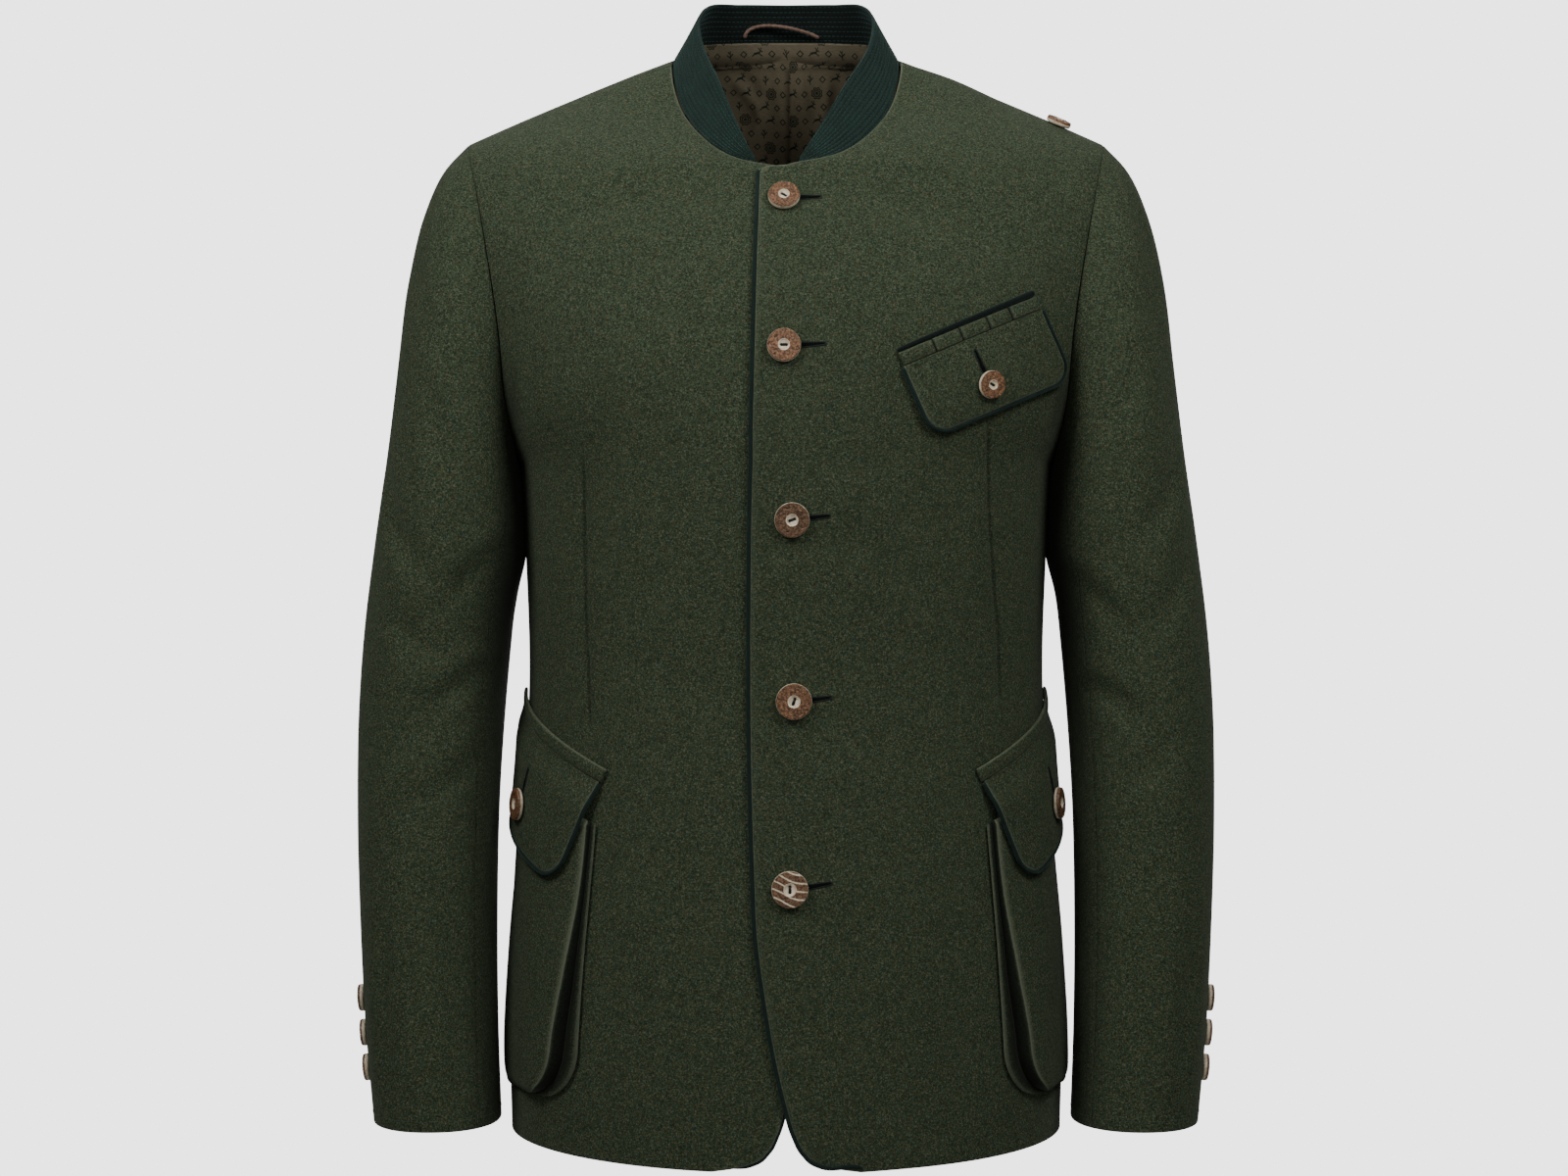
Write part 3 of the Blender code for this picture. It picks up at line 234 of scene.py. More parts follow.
CHEST_FLAP = {"width": 0.0985, "height": 0.0475, "corner": 0.013}
CHEST_BAND_HEIGHT = 0.0088
CHEST_FLAP_STAND = 0.0016
CHEST_FLAP_STAND_BY = 0.040
CHEST_BUTTON_DOWN = 0.0315
CHEST_BUTTON_ASIDE = -0.003

# %% [markdown]
# ## Curves that the form is made of
#
# Values between the rows of a table run along a smooth curve. The neck line and the armholes are
# closed curves round the openings. Each body row is a cubic curve from the middle of the front or
# back round to the side seam or the armhole. A curve keeps the cloth fair without a long point
# list.

# %% Curve helpers


def smooth(at, knots, values):
    """Values between the knots on a cubic curve whose slopes come from differences."""
    at = np.asarray(at, dtype=float)
    slopes = np.gradient(values, knots)
    low = np.clip(np.searchsorted(knots, at, side="right") - 1, 0, len(knots) - 2)
    span = knots[low + 1] - knots[low]
    t = np.clip((at - knots[low]) / span, 0.0, 1.0)
    start = (1 + 2 * t) * (1 - t) ** 2 * values[low] + t * (1 - t) ** 2 * span * slopes[low]
    end = t * t * (3 - 2 * t) * values[low + 1] + t * t * (t - 1) * span * slopes[low + 1]
    return start + end


def between(rows, name, at):
    """One column of a table at places along its first column."""
    return smooth(at, next(iter(rows.values())), rows[name])


def ease(at):
    """0 to 1 without corners: 3t^2 - 2t^3."""
    at = np.clip(at, 0.0, 1.0)
    return at * at * (3 - 2 * at)


def stack(x, y, z):
    """Three arrays as points."""
    return np.stack(np.broadcast_arrays(x, y, z), axis=-1)


def across_middle(x):
    """Factors that mirror points where x is negative, and leave the others."""
    return stack(np.where(np.asarray(x) < 0, -1.0, 1.0), 1.0, 1.0)


def fuller(wave, power):
    """A sine or cosine whose size is raised to a power, which squares up an ellipse."""
    return np.sign(wave) * np.abs(wave) ** power


def unit(vectors):
    """Vectors of length 1."""
    return vectors / np.maximum(np.linalg.norm(vectors, axis=-1, keepdims=True), 1e-12)


def lie(points, normals, height):
    """Points moved off the surface along its normals."""
    return points + normals * np.asarray(height)[..., None]


# %% Neck line and armhole


def neck_line(angle):
    """The neck seam: 0 is the front pit, 90 the left shoulder, 180 the nape."""
    around = np.abs(angle)
    return stack(NECK_RADIUS * np.sin(np.radians(angle)), between(NECK, "y", around),
                 between(NECK, "z", around))


def armhole_line(angle):
    """The left armhole seam: 0 is the shoulder, 90 the front, 180 the underarm, 270 the back."""
    turn = np.radians(angle)
    y = SEAM_Y - ARMHOLE_HALF[0] * fuller(np.sin(turn), ARMHOLE_SQUARE)
    z = ARMHOLE_MIDDLE_Z + ARMHOLE_HALF[1] * np.cos(turn)
    x = between(ARMHOLE_X, "x", z) + BACK_WIDTH * np.clip(-np.sin(turn), 0, 1)
    return stack(x, y, z)


print("neck pit", neck_line(np.array(0.0)), "shoulder point", armhole_line(np.array(0.0)))

# %% [markdown]
# ## The body's form
#
# A level of 0 is the hem, 0.6 the underarm and 1 the shoulder seam. A share of 0 is the middle
# and 1 the side. Each row is resampled by its length, so a share is also a distance along the
# cloth, which is how a maker would mark it.

# %% Rows of the body
FACES = {-1: ("front", YOKE_FRONT, PIT_SHARE, PIT_Z, FRONT_PULL),
         1: ("back", YOKE_BACK, NAPE_SHARE, NAPE_Z, BACK_PULL)}
CURVE_STEPS = 80


def row_ends(face, level):
    """Start, two handles and end of each row's cubic curve. Face is -1 for front, 1 for back."""
    column, yoke, turn_share, top_z, pull = FACES[face]
    low = level < UNDERARM_LEVEL
    share = np.clip((level - UNDERARM_LEVEL) / (1 - UNDERARM_LEVEL), 0, 1)
    z_low = HEM_Z + level / UNDERARM_LEVEL * (UNDERARM_Z - HEM_Z)
    z_up = UNDERARM_Z + np.clip(share / turn_share, 0, 1) * (top_z - UNDERARM_Z)
    z = np.where(low, z_low, z_up)
    middle = stack(0, face * between(BODY, column, z), z)
    swing = np.clip((share - turn_share) / (1 - turn_share), 0, 1) * 90
    neck = neck_line(swing if face < 0 else 180 - swing)
    on_neck = (share > turn_share)[:, None]
    start = np.where(on_neck, neck, middle)

    half_width = between(BODY, "half_width", z_low)
    rise = SIDE_RISE * (1 - ease((z_low - HEM_Z) / SIDE_RISE_FADE))
    side = stack(half_width, SEAM_Y, z_low + rise)
    armhole = armhole_line(180 * (1 + face * share))
    end = np.where(low[:, None], side, armhole)

    depth = between(BODY, column, z_low) - face * SEAM_Y
    leave_low = stack(pull * half_width, 0, 0)
    arrive_low = stack(0, -face * SIDE_PULL * depth, 0)
    way = {name: between(yoke, name, share) for name in yoke}
    leave_up, arrive_up = (unit(stack(*(way[f"{end}_{key}"] for key in "xyz")))
                           for end in ("in", "out"))
    leave_up = np.where(on_neck, leave_up, (1, 0, 0))
    leave = np.where(low[:, None], leave_low, leave_up * way["in_pull"][:, None])
    arrive = np.where(low[:, None], arrive_low, arrive_up * way["out_pull"][:, None])
    return start, start + leave, end - arrive, end


def torso_rows(face, level, share):
    """Outer face of the body: (1-t)^3 A + 3t(1-t)^2 B + 3t^2(1-t) C + t^3 D, evenly by length."""
    start, leave, arrive, end = row_ends(face, level)
    t = np.linspace(0, 1, CURVE_STEPS)[:, None, None]
    curve = ((1 - t) ** 3 * start + 3 * t * (1 - t) ** 2 * leave
             + 3 * t * t * (1 - t) * arrive + t ** 3 * end)
    along = run_of(curve)
    rows = [path_at(share * along[-1, i], along[:, i], curve[:, i]) for i in range(len(level))]
    return np.array(rows), along[-1]


def path_at(place, at, points):
    """Points of a path by the length along it, straight between its corners."""
    return np.stack([np.interp(place, at, points[:, k]) for k in range(points.shape[1])], -1)


def run_of(points):
    """The length along a path, or along many side by side, at each of its corners."""
    step = np.linalg.norm(np.diff(points, axis=0), axis=-1)
    return np.concatenate([0 * step[:1], np.cumsum(step, axis=0)])


def face_normals(points, outward):
    """Unit normals of a grid: the cross product of its two directions, on the outward side."""
    normal = unit(np.cross(np.gradient(points, axis=0), np.gradient(points, axis=1)))
    return normal * np.sign(np.sum(normal * outward, axis=-1, keepdims=True).mean())


# %% [markdown]
# ## Soft folds
#
# Fulled loden is thick and lies smooth, so it has few folds, and they are wide and shallow. Each
# one is a short line on the cloth with a depth and a width. The cloth sinks along that line and
# swells a little beside it. The folds are listed one by one, unevenly, where the cloth is pulled:
# from the chest to the underarm, round the waist, at the buttons and inside the elbows.

# %% Folds of the body, as seen from the front or the back
FRONT_FOLDS = table(
    "x0     z0      x1      z1      bow     depth   width",
    (-0.012, -0.125, -0.150, -0.172, 0.008, 0.0016, 0.0110),
    (-0.030, -0.150, -0.165, -0.232, 0.010, 0.0011, 0.0140),
    (-0.128, -0.255, -0.136, -0.420, 0.002, 0.0013, 0.0090),
    (-0.066, -0.300, -0.118, -0.395, -0.006, 0.0008, 0.0130),
    (-0.030, -0.432, -0.120, -0.400, 0.006, 0.0009, 0.0120),
    (-0.060, -0.520, -0.072, -0.715, 0.004, 0.0016, 0.0180),
    (-0.112, -0.560, -0.106, -0.720, -0.004, 0.0012, 0.0150),
    (0.010, -0.275, 0.082, -0.262, 0.005, 0.0011, 0.0110),
    (0.020, -0.318, 0.095, -0.352, -0.005, 0.0010, 0.0120),
    (0.022, -0.436, 0.108, -0.462, 0.006, 0.0011, 0.0120),
    (0.030, -0.558, 0.070, -0.706, 0.006, 0.0017, 0.0170),
    (0.104, -0.545, 0.116, -0.716, 0.004, 0.0013, 0.0160),
    (0.140, -0.262, 0.136, -0.430, -0.003, 0.0012, 0.0090),
    (0.075, -0.108, 0.165, -0.150, -0.008, 0.0009, 0.0140),
    (0.030, -0.125, 0.095, -0.146, 0.004, 0.0008, 0.0120))

BACK_FOLDS = table(
    "x0     z0      x1      z1      bow     depth   width",
    (-0.060, -0.060, -0.158, -0.175, 0.012, 0.0017, 0.0130),
    (0.052, -0.066, 0.150, -0.168, -0.012, 0.0015, 0.0140),
    (-0.105, -0.235, -0.150, -0.330, 0.006, 0.0016, 0.0120),
    (0.112, -0.225, 0.152, -0.318, -0.006, 0.0017, 0.0110),
    (-0.018, -0.335, -0.142, -0.372, 0.008, 0.0014, 0.0110),
    (0.014, -0.352, 0.138, -0.384, -0.007, 0.0013, 0.0120),
    (-0.030, -0.412, -0.128, -0.432, -0.006, 0.0010, 0.0120),
    (0.038, -0.428, 0.120, -0.445, 0.005, 0.0010, 0.0120),
    (-0.074, -0.500, -0.086, -0.715, 0.006, 0.0022, 0.0180),
    (0.000, -0.470, 0.004, -0.712, 0.004, 0.0018, 0.0170),
    (0.080, -0.520, 0.088, -0.715, -0.006, 0.0021, 0.0190))

DARTS = {                # sewn darts of the fronts, from the chest down to the pocket
    "left": table(
        "x      z",
        (0.1308, -0.2340),
        (0.1314, -0.2510),
        (0.1327, -0.3030),
        (0.1359, -0.3420),
        (0.1397, -0.3810),
        (0.1410, -0.4300)),
    "right": table(
        "x      z",
        (0.1322, -0.2560),
        (0.1320, -0.3100),
        (0.1312, -0.3600),
        (0.1290, -0.4160),
        (0.1280, -0.4480))}
FOLD_STARTS, FOLD_ENDS = (-0.12, 0.42), (1.12, 0.55)     # where along a fold, over what share
FOLD_SWELL, SWELL_ASIDE, SWELL_WIDE = 0.45, 1.9, 1.2     # shares of its depth and width
DART_DEPTH = 0.0011
DART_WIDTH = 0.0011
DART_TOP_FADE, DART_END_FADE = 0.030, 0.010
DART_ROLL, ROLL_WIDE = 0.35, 5       # how far the cloth beside it rolls in, as shares


def fold_height(u, v, folds):
    """Sum of troughs: -depth * exp(-(d/w)^2), a softer swell beside each, faded at both ends."""
    height = np.zeros(np.shape(u))
    for u0, v0, u1, v1, bow, depth, fold_width in zip(*folds.values()):
        length = np.hypot(u1 - u0, v1 - v0)
        along = ((u - u0) * (u1 - u0) + (v - v0) * (v1 - v0)) / length ** 2
        side = ((u - u0) * (v1 - v0) - (v - v0) * (u1 - u0)) / length
        inside = np.clip(along, 0, 1)
        side = side - bow * 4 * inside * (1 - inside)
        reach = (ease((along - FOLD_STARTS[0]) / FOLD_STARTS[1])
                 * ease((FOLD_ENDS[0] - along) / FOLD_ENDS[1]))
        width = fold_width * (0.75 + 0.5 * inside)
        trough = -np.exp(-(side / width) ** 2)
        swell = FOLD_SWELL * np.exp(-((side - SWELL_ASIDE * width) / (SWELL_WIDE * width)) ** 2)
        height = height + depth * reach * (trough + swell)
    return height


def dart_place(x, z, dart):
    """How far points lie from the line of a dart, and how strong it is at their height."""
    line = np.interp(-z, -dart["z"], dart["x"])
    reach = (ease((z - dart["z"][-1]) / DART_END_FADE)
             * ease((dart["z"][0] - z) / DART_TOP_FADE))
    return np.abs(np.abs(x) - line), reach


def dart_height(x, z, dart):
    """A sewn dart: a thin groove along its line, with the cloth rolling in on both sides."""
    side, reach = dart_place(x, z, dart)
    return -DART_DEPTH * reach * (np.exp(-(side / DART_WIDTH) ** 2)
                                  + DART_ROLL * np.exp(-(side / (ROLL_WIDE * DART_WIDTH)) ** 2))


print("folds:", len(FRONT_FOLDS["depth"]), "front,", len(BACK_FOLDS["depth"]), "back")

# %% Fine grids that every piece of the body is read from
PIT_LEVEL = UNDERARM_LEVEL + PIT_SHARE * (1 - UNDERARM_LEVEL)
NAPE_LEVEL = UNDERARM_LEVEL + NAPE_SHARE * (1 - UNDERARM_LEVEL)
TOP_LEVEL = 1.0
FORM_ROWS = 501          # one of them at the underarm, the pit and the nape
FORM_COLUMNS = 361
UNDERARM_BLEND = 0.035   # as a level
BLEND_FADE = 0.30        # the blend fades out over this share before the side
SEAM_FADE = 0.020        # folds fade out this far before a side seam
SHOULDER_FADE = 0.06     # and before the shoulder seam, as a level
INWARD = np.array((0.0, 0.0, -0.35))     # a place well inside the body


class Lattice:
    """A fine grid of points and normals that other pieces read by level and share."""

    def __init__(self, level, share, points, normals):
        self.level, self.share = level, share
        self.points, self.normals = points, normals

    def read(self, level, share):
        """Points and normals at the given levels and shares, straight between grid points."""
        row = np.interp(level, self.level, np.arange(len(self.level)))
        column = np.interp(share, self.share, np.arange(len(self.share)))
        i = np.clip(row.astype(int), 0, len(self.level) - 2)
        j = np.clip(column.astype(int), 0, len(self.share) - 2)
        a, b = (row - i)[..., None], (column - j)[..., None]
        found = []
        for grid in (self.points, self.normals):
            low = grid[i, j] * (1 - b) + grid[i, j + 1] * b
            high = grid[i + 1, j] * (1 - b) + grid[i + 1, j + 1] * b
            found.append(low * (1 - a) + high * a)
        return found


def ease_underarm(rows, level, share):
    """Rows near the underarm blended with their neighbours, so that no ridge shows there."""
    away = level[:, None] - level[None, :]
    weight = np.exp(-(away / UNDERARM_BLEND) ** 2)
    weight = weight / weight.sum(axis=1, keepdims=True)
    blended = np.tensordot(weight, rows, axes=1)
    window = ease(1.2 - np.abs(level - UNDERARM_LEVEL) / (4 * UNDERARM_BLEND))[:, None]
    window = window * ease((1 - share) / BLEND_FADE)
    return rows + (blended - rows) * window[..., None]


def make_torso():
    """Four grids, front and back on each side, with their folds, mitred at the shoulder seam."""
    level = np.linspace(0, 1, FORM_ROWS)
    share = np.linspace(0, 1, FORM_COLUMNS)
    made, widths = {}, {}
    for face, folds in ((-1, FRONT_FOLDS), (1, BACK_FOLDS)):
        rows, widths[face] = torso_rows(face, level, share)
        rows = ease_underarm(rows, level, share)
        flat = face_normals(rows, rows - INWARD)
        to_seam = (1 - share) * widths[face][:, None]
        fade = ease(to_seam / SEAM_FADE) * ease((1 - level)[:, None] / SHOULDER_FADE)
        for side, turned in (("left", across_middle(1)), ("right", across_middle(-1))):
            points, normals = rows * turned, flat * turned
            height = fade * fold_height(points[..., 0], points[..., 2], folds)
            if face < 0:
                height = height + dart_height(points[..., 0], points[..., 2], DARTS[side])
            points = lie(points, normals, height)
            made[face, side] = [points, face_normals(points, normals)]
    for side in SIDES:
        front, back = made[-1, side][1][-1], made[1, side][1][-1]
        mitre = unit(front + back)
        mitre = mitre / np.sum(mitre * front, axis=-1, keepdims=True)
        front[:] = back[:] = mitre
    for face, top in ((-1, PIT_LEVEL), (1, NAPE_LEVEL)):
        for side in SIDES:
            normals, middle = made[face, side][1], (level <= top + 1e-9, 0)
            normals[middle] = unit(normals[middle] * (0.0, 1.0, 1.0))
    return {key: Lattice(level, share, *grid) for key, grid in made.items()}, widths, level


TORSO, ROW_WIDTH, ROW_LEVEL = make_torso()
print("body grid", TORSO[-1, "left"].points.shape)

# %% Places on the body
FIRST_GUESS = (0.7, 0.5)     # level and share
NEWTON_STEPS, NEWTON_SMALL, NEWTON_LIMIT = 24, 0.004, 0.990


def level_of(z):
    """Level of a row below the underarm."""
    return (z - HEM_Z) / (UNDERARM_Z - HEM_Z) * UNDERARM_LEVEL


def row_width(face, level):
    """Length of a row along the cloth."""
    return np.interp(level, ROW_LEVEL, ROW_WIDTH[face])


def overlap_lift(distance):
    """How far the top front is raised, by its distance from the middle along the cloth."""
    return (WALL + 2 * GAP) * (1 - ease((np.abs(distance) - OVERLAP_FLAT) / OVERLAP_EASE))


def either(second, here, there):
    """Points and normals of the first kind, or of the second kind where that is true."""
    return [np.where(second[..., None], b, a) for a, b in zip(here, there)]


def read_half(face, side, level, share):
    """Points and normals of one half; a negative share lies past the middle, on the other half."""
    other = "right" if side == "left" else "left"
    here, there = (TORSO[face, half].read(level, np.abs(share)) for half in (side, other))
    return either(np.signbit(share), here, there)


def around_side(side, z, arc):
    """Point and normal by height and by the distance from the side seam along the cloth."""
    level = level_of(z)
    return either(arc > 0, *(TORSO[face, side].read(level, 1 - face * arc / row_width(face, level))
                             for face in (-1, 1)))


def seen_from_front(x, z):
    """Point and normal on the left front at x, z in a front view, found by Newton's steps."""
    form, turned, x = TORSO[-1, "left"], across_middle(x), np.abs(x)
    level, share = (np.full(np.shape(x), first) for first in FIRST_GUESS)
    for _ in range(NEWTON_STEPS):
        here = form.read(level, share)[0]
        up = (form.read(level + NEWTON_SMALL, share)[0] - here) / NEWTON_SMALL
        out = (form.read(level, share + NEWTON_SMALL)[0] - here) / NEWTON_SMALL
        miss_x, miss_z = x - here[..., 0], z - here[..., 2]
        flat = up[..., 0] * out[..., 2] - up[..., 2] * out[..., 0]
        level = level + (miss_x * out[..., 2] - miss_z * out[..., 0]) / flat
        share = share + (up[..., 0] * miss_z - up[..., 2] * miss_x) / flat
        level, share = np.clip(level, 0, NEWTON_LIMIT), np.clip(share, 0, NEWTON_LIMIT)
    point, normal = form.read(level, share)
    lift = overlap_lift(share * row_width(-1, level))
    return lie(point, normal, lift) * turned, normal * turned


# %% [markdown]
# ## From a grid to a cloth wall
#
# Real cloth ends in turned or pressed edges, never in a sharp step. Each piece here has an outer
# and an inner face whose distance shrinks along a quarter circle at its edges, so both faces meet
# in a round edge. Where two pieces meet, their two round edges make the thin groove of a pressed
# seam.

# %% Building meshes
WELD = 1e-7
EDGE_ROUND = 0.0011      # how far from a free edge the wall starts to round
SEAM_ROUND = 0.0008      # and from a seam
EDGE_LIGHT = 0.0014      # how wide a free edge catches the light
NEAR_EDGE = np.array((0.0, 0.06, 0.25, 0.55, 1.0))


def spaced(count, length, low=EDGE_ROUND, high=EDGE_ROUND):
    """0 to 1 in even steps, with closer ones inside the rounded edges. Returns shares."""
    first, last = low / length * NEAR_EDGE, 1 - high / length * NEAR_EDGE[::-1]
    return np.concatenate([first, np.linspace(first[-1], last[0], count)[1:-1], last])


def quarter(distance, radius):
    """0 at an edge, then 1 from the radius on, along a quarter circle."""
    t = np.clip(distance / radius, 0, 1)
    return np.sqrt(t * (2 - t))


def grid_quads(rows, columns, start=0, flip=False):
    """Corner numbers of the faces of a grid whose first point has the number start."""
    number = start + np.arange(rows * columns).reshape(rows, columns)
    quads = np.stack([number[:-1, :-1], number[1:, :-1], number[1:, 1:], number[:-1, 1:]], -1)
    quads = quads.reshape(-1, 4)
    return quads[:, ::-1] if flip else quads


def weld(points, quads):
    """Merge points in one place. Faces that lose a corner become triangles, the rest vanish."""
    _, first, where = np.unique(np.round(points / WELD).astype(np.int64), axis=0,
                                return_index=True, return_inverse=True)
    faces = where.reshape(-1)[quads]
    again = faces == np.roll(faces, 1, axis=1)
    lost = again.sum(axis=1)
    crossed = (faces[:, :2] == faces[:, 2:]).any(axis=1)
    whole = faces[(lost == 0) & ~crossed]
    threes = faces[lost == 1][~again[lost == 1]].reshape(-1, 3)
    return points[first], whole, threes, first


def make_piece(name, parts, material, slot, stands_for=None, uv=None, values=()):
    """A named mesh piece that rides on the frame, with an optional UV map and point values."""
    points, fours, threes, kept = weld(*parts)
    mesh = bpy.data.meshes.new(name)
    mesh.from_pydata(points.tolist(), [], fours.tolist() + threes.tolist())
    mesh.shade_smooth()
    if uv is not None:
        corners = np.zeros(len(mesh.loops), dtype=np.int32)
        mesh.loops.foreach_get("vertex_index", corners)
        layer = mesh.uv_layers.new(name="cloth")
        layer.data.foreach_set("uv", uv[kept][corners].astype(np.float32).ravel())
    for key, value in dict(values).items():
        data = mesh.attributes.new(key, "FLOAT", "POINT").data
        data.foreach_set("value", value[kept].astype(np.float32))
    mesh.materials.append(material)
    piece = bpy.data.objects.new(name, mesh)
    bpy.context.scene.collection.objects.link(piece)
    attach(piece, "root")
    if stands_for:
        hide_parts(stands_for)
    return piece


def outward(points, normals):
    """True if the grid's faces, taken in order, look to the side of the normals."""
    cross = np.cross(points[1:, :-1] - points[:-1, :-1], points[:-1, 1:] - points[:-1, :-1])
    return np.sum(cross * normals[:-1, :-1]) > 0


def wall_parts(points, normals, middle, half):
    """Points and faces of a closed wall: one grid half a wall outside its middle, one inside."""
    rows, columns = points.shape[:2]
    centre = lie(points, normals, middle)
    both = np.concatenate([lie(centre, normals, side).reshape(-1, 3) for side in (half, -half)])
    flip = outward(centre, normals)
    quads = np.concatenate([grid_quads(rows, columns, 0, not flip),
                            grid_quads(rows, columns, rows * columns, flip)])
    return both, quads


def join_parts(parts):
    """Several (points, faces) as one."""
    points, quads = zip(*parts)
    starts = np.cumsum([0] + [len(part) for part in points[:-1]])
    return (np.concatenate(points),
            np.concatenate([part + start for part, start in zip(quads, starts)]))


def edge_distance(points, line):
    """Distance of each point of a grid to a line of short straight stretches, row by row."""
    keep = np.linalg.norm(np.diff(line, axis=0), axis=-1) > WELD
    start, step = line[:-1][keep], np.diff(line, axis=0)[keep]
    long2 = np.sum(step * step, -1)
    found = []
    for row in points:
        gap = row[:, None] - start
        t = np.clip(np.sum(gap * step, -1) / long2, 0, 1)
        found.append(np.linalg.norm(gap - t[..., None] * step, axis=-1).min(axis=1))
    return np.array(found)


def to_sides(points, names):
    """Distance of each point of a grid to each of its named sides."""
    sides = {"top": points[-1], "bottom": points[0], "start": points[:, 0], "end": points[:, -1]}
    return [edge_distance(points, sides[name]) for name in names]


def edge_share(points, radius=EDGE_ROUND, **radii):
    """The wall's share of its thickness, by a quarter circle from each side of its grid.

    A side can have a radius of its own, and a radius of 0 leaves a side as it is.
    """
    radii = dict.fromkeys(("start", "bottom", "top", "end"), radius) | radii
    radii = {side: radius for side, radius in radii.items() if radius}
    return np.prod([quarter(away, radius) for away, radius in
                    zip(to_sides(points, radii), radii.values())], axis=0)


def twice(values):
    """Point values of a wall: the same on its outer and inner face."""
    return np.concatenate([np.ravel(values), np.ravel(values)])


def edge_glow(points, *names):
    """A painted highlight along the named sides of a grid: 1 there, 0 from EDGE_LIGHT on, both
    faces.
    """
    return twice(1 - ease(np.min(to_sides(points, names), axis=0) / EDGE_LIGHT))


# %% [markdown]
# ## Materials
#
# Each finish is a Principled shader fed by groups of nodes. A group holds an effect that several
# finishes share: the grain of fulled wool, or one capsule of a printed motif. Patterns read the
# piece's own coordinates, so they stay on the cloth from every side. A wire below is a node's
# output that can be added and multiplied like a number, which keeps a formula in nodes as short
# as in text.

# %% Node helpers


class Wire:
    """A node's output in arithmetic: each operation adds a Math node."""

    def __init__(self, socket):
        self.socket, self.tree = socket, socket.id_data

    def math(self, operation, *others):
        """The result of a Math node that takes this value first."""
        return wire(self.tree, "Math", enumerate((self, *others)), operation=operation)

    def __add__(self, other):
        return self.math("ADD", other)

    def __sub__(self, other):
        return self.math("SUBTRACT", other)

    def __rsub__(self, other):
        return wire(self.tree, "Math", {0: other, 1: self}, operation="SUBTRACT")

    def __mul__(self, other):
        return self.math("MULTIPLY", other)

    def __abs__(self):
        return self.math("ABSOLUTE")


def feed(node, inputs):
    """Give a node its inputs by name or number. Wires are linked, and colours get their alpha."""
    for key, value in dict(inputs).items():
        socket = node.inputs[key]
        if isinstance(value, Wire):
            node.id_data.links.new(value.socket, socket)
        else:
            socket.default_value = (*value, 1.0) if socket.type == "RGBA" else value


def add(tree, kind, inputs=(), **settings):
    """A node with its settings and inputs."""
    made = tree.nodes.new(f"ShaderNode{kind}")
    for key, value in settings.items():
        setattr(made, key, value)
    feed(made, inputs)
    return made


def wire(tree, kind, inputs=(), output=0, **settings):
    """One output of a new node."""
    return Wire(add(tree, kind, inputs, **settings).outputs[output])


def vector(operation, *values):
    """A Vector Math node's result: a value for dot products and lengths, else a vector."""
    output = "Value" if operation in ("DOT_PRODUCT", "LENGTH") else "Vector"
    return wire(values[0].tree, "VectorMath", enumerate(values), output, operation=operation)


def scaled(where, scale):
    """A vector times a value."""
    return wire(where.tree, "VectorMath", {0: where, "Scale": scale}, operation="SCALE")


def stretched(where, scale):
    """Coordinates scaled along each axis by a Mapping node."""
    return wire(where.tree, "Mapping", {"Vector": where, "Scale": scale})


def noise(where, scale, detail=2.0, roughness=0.55, output="Fac"):
    """A noise texture's value, or its colour."""
    return wire(where.tree, "TexNoise", {"Vector": where, "Scale": scale, "Detail": detail,
                                         "Roughness": roughness}, output)


def ramp(value, *stops):
    """A colour ramp's colour. Stops are (place, colour) or (place, grey)."""
    made = add(value.tree, "ValToRGB", {"Fac": value})
    band = made.color_ramp
    while len(band.elements) < len(stops):
        band.elements.new(0.5)
    for element, (place, colour) in zip(band.elements, stops):
        element.position = place
        element.color = (*colour, 1.0) if np.ndim(colour) else (colour, colour, colour, 1.0)
    return Wire(made.outputs["Color"])


def mix(share, a, b, blend="MIX"):
    """Mix two colours. The colour sockets of the node are numbers 6 and 7."""
    tree = next(value.tree for value in (share, a, b) if isinstance(value, Wire))
    return wire(tree, "Mix", {0: share, 6: a, 7: b}, 2, data_type="RGBA", blend_type=blend)


def times(a, b):
    """One colour times another."""
    return mix(1.0, a, b, "MULTIPLY")


def bump(height, strength, distance):
    """A Bump node's normal."""
    return wire(height.tree, "Bump", {"Height": height, "Strength": strength,
                                      "Distance": distance})


def on_object(tree):
    """Object coordinates."""
    return wire(tree, "TexCoord", output="Object")


def attribute(tree, name):
    """A point value of the mesh."""
    return wire(tree, "Attribute", output="Fac", attribute_name=name)


def new_group(name, inputs, outputs):
    """A shader node group with its input wires and result node. No default makes a vector."""
    group = bpy.data.node_groups.new(name, "ShaderNodeTree")
    for label, default in inputs.items():
        kind = "NodeSocketVector" if default is None else "NodeSocketFloat"
        socket = group.interface.new_socket(label, in_out="INPUT", socket_type=kind)
        if default is not None:
            socket.default_value = default
    for label in outputs:
        group.interface.new_socket(label, in_out="OUTPUT", socket_type="NodeSocketFloat")
    given = group.nodes.new("NodeGroupInput").outputs
    wires = {label: Wire(given[label]) for label in inputs}
    return group, wires, group.nodes.new("NodeGroupOutput")


def use_group(tree, group, inputs):
    """The outputs of a group placed in a tree with its own values."""
    return {made.name: Wire(made) for made in add(tree, "Group", inputs, node_tree=group).outputs}


def finish_material(name, constants):
    """A new material with the constants of its shader. Returns material, tree and shader."""
    made = bpy.data.materials.new(name)
    made.use_nodes = True
    shader = made.node_tree.nodes["Principled BSDF"]
    feed(shader, constants)
    return made, made.node_tree, shader


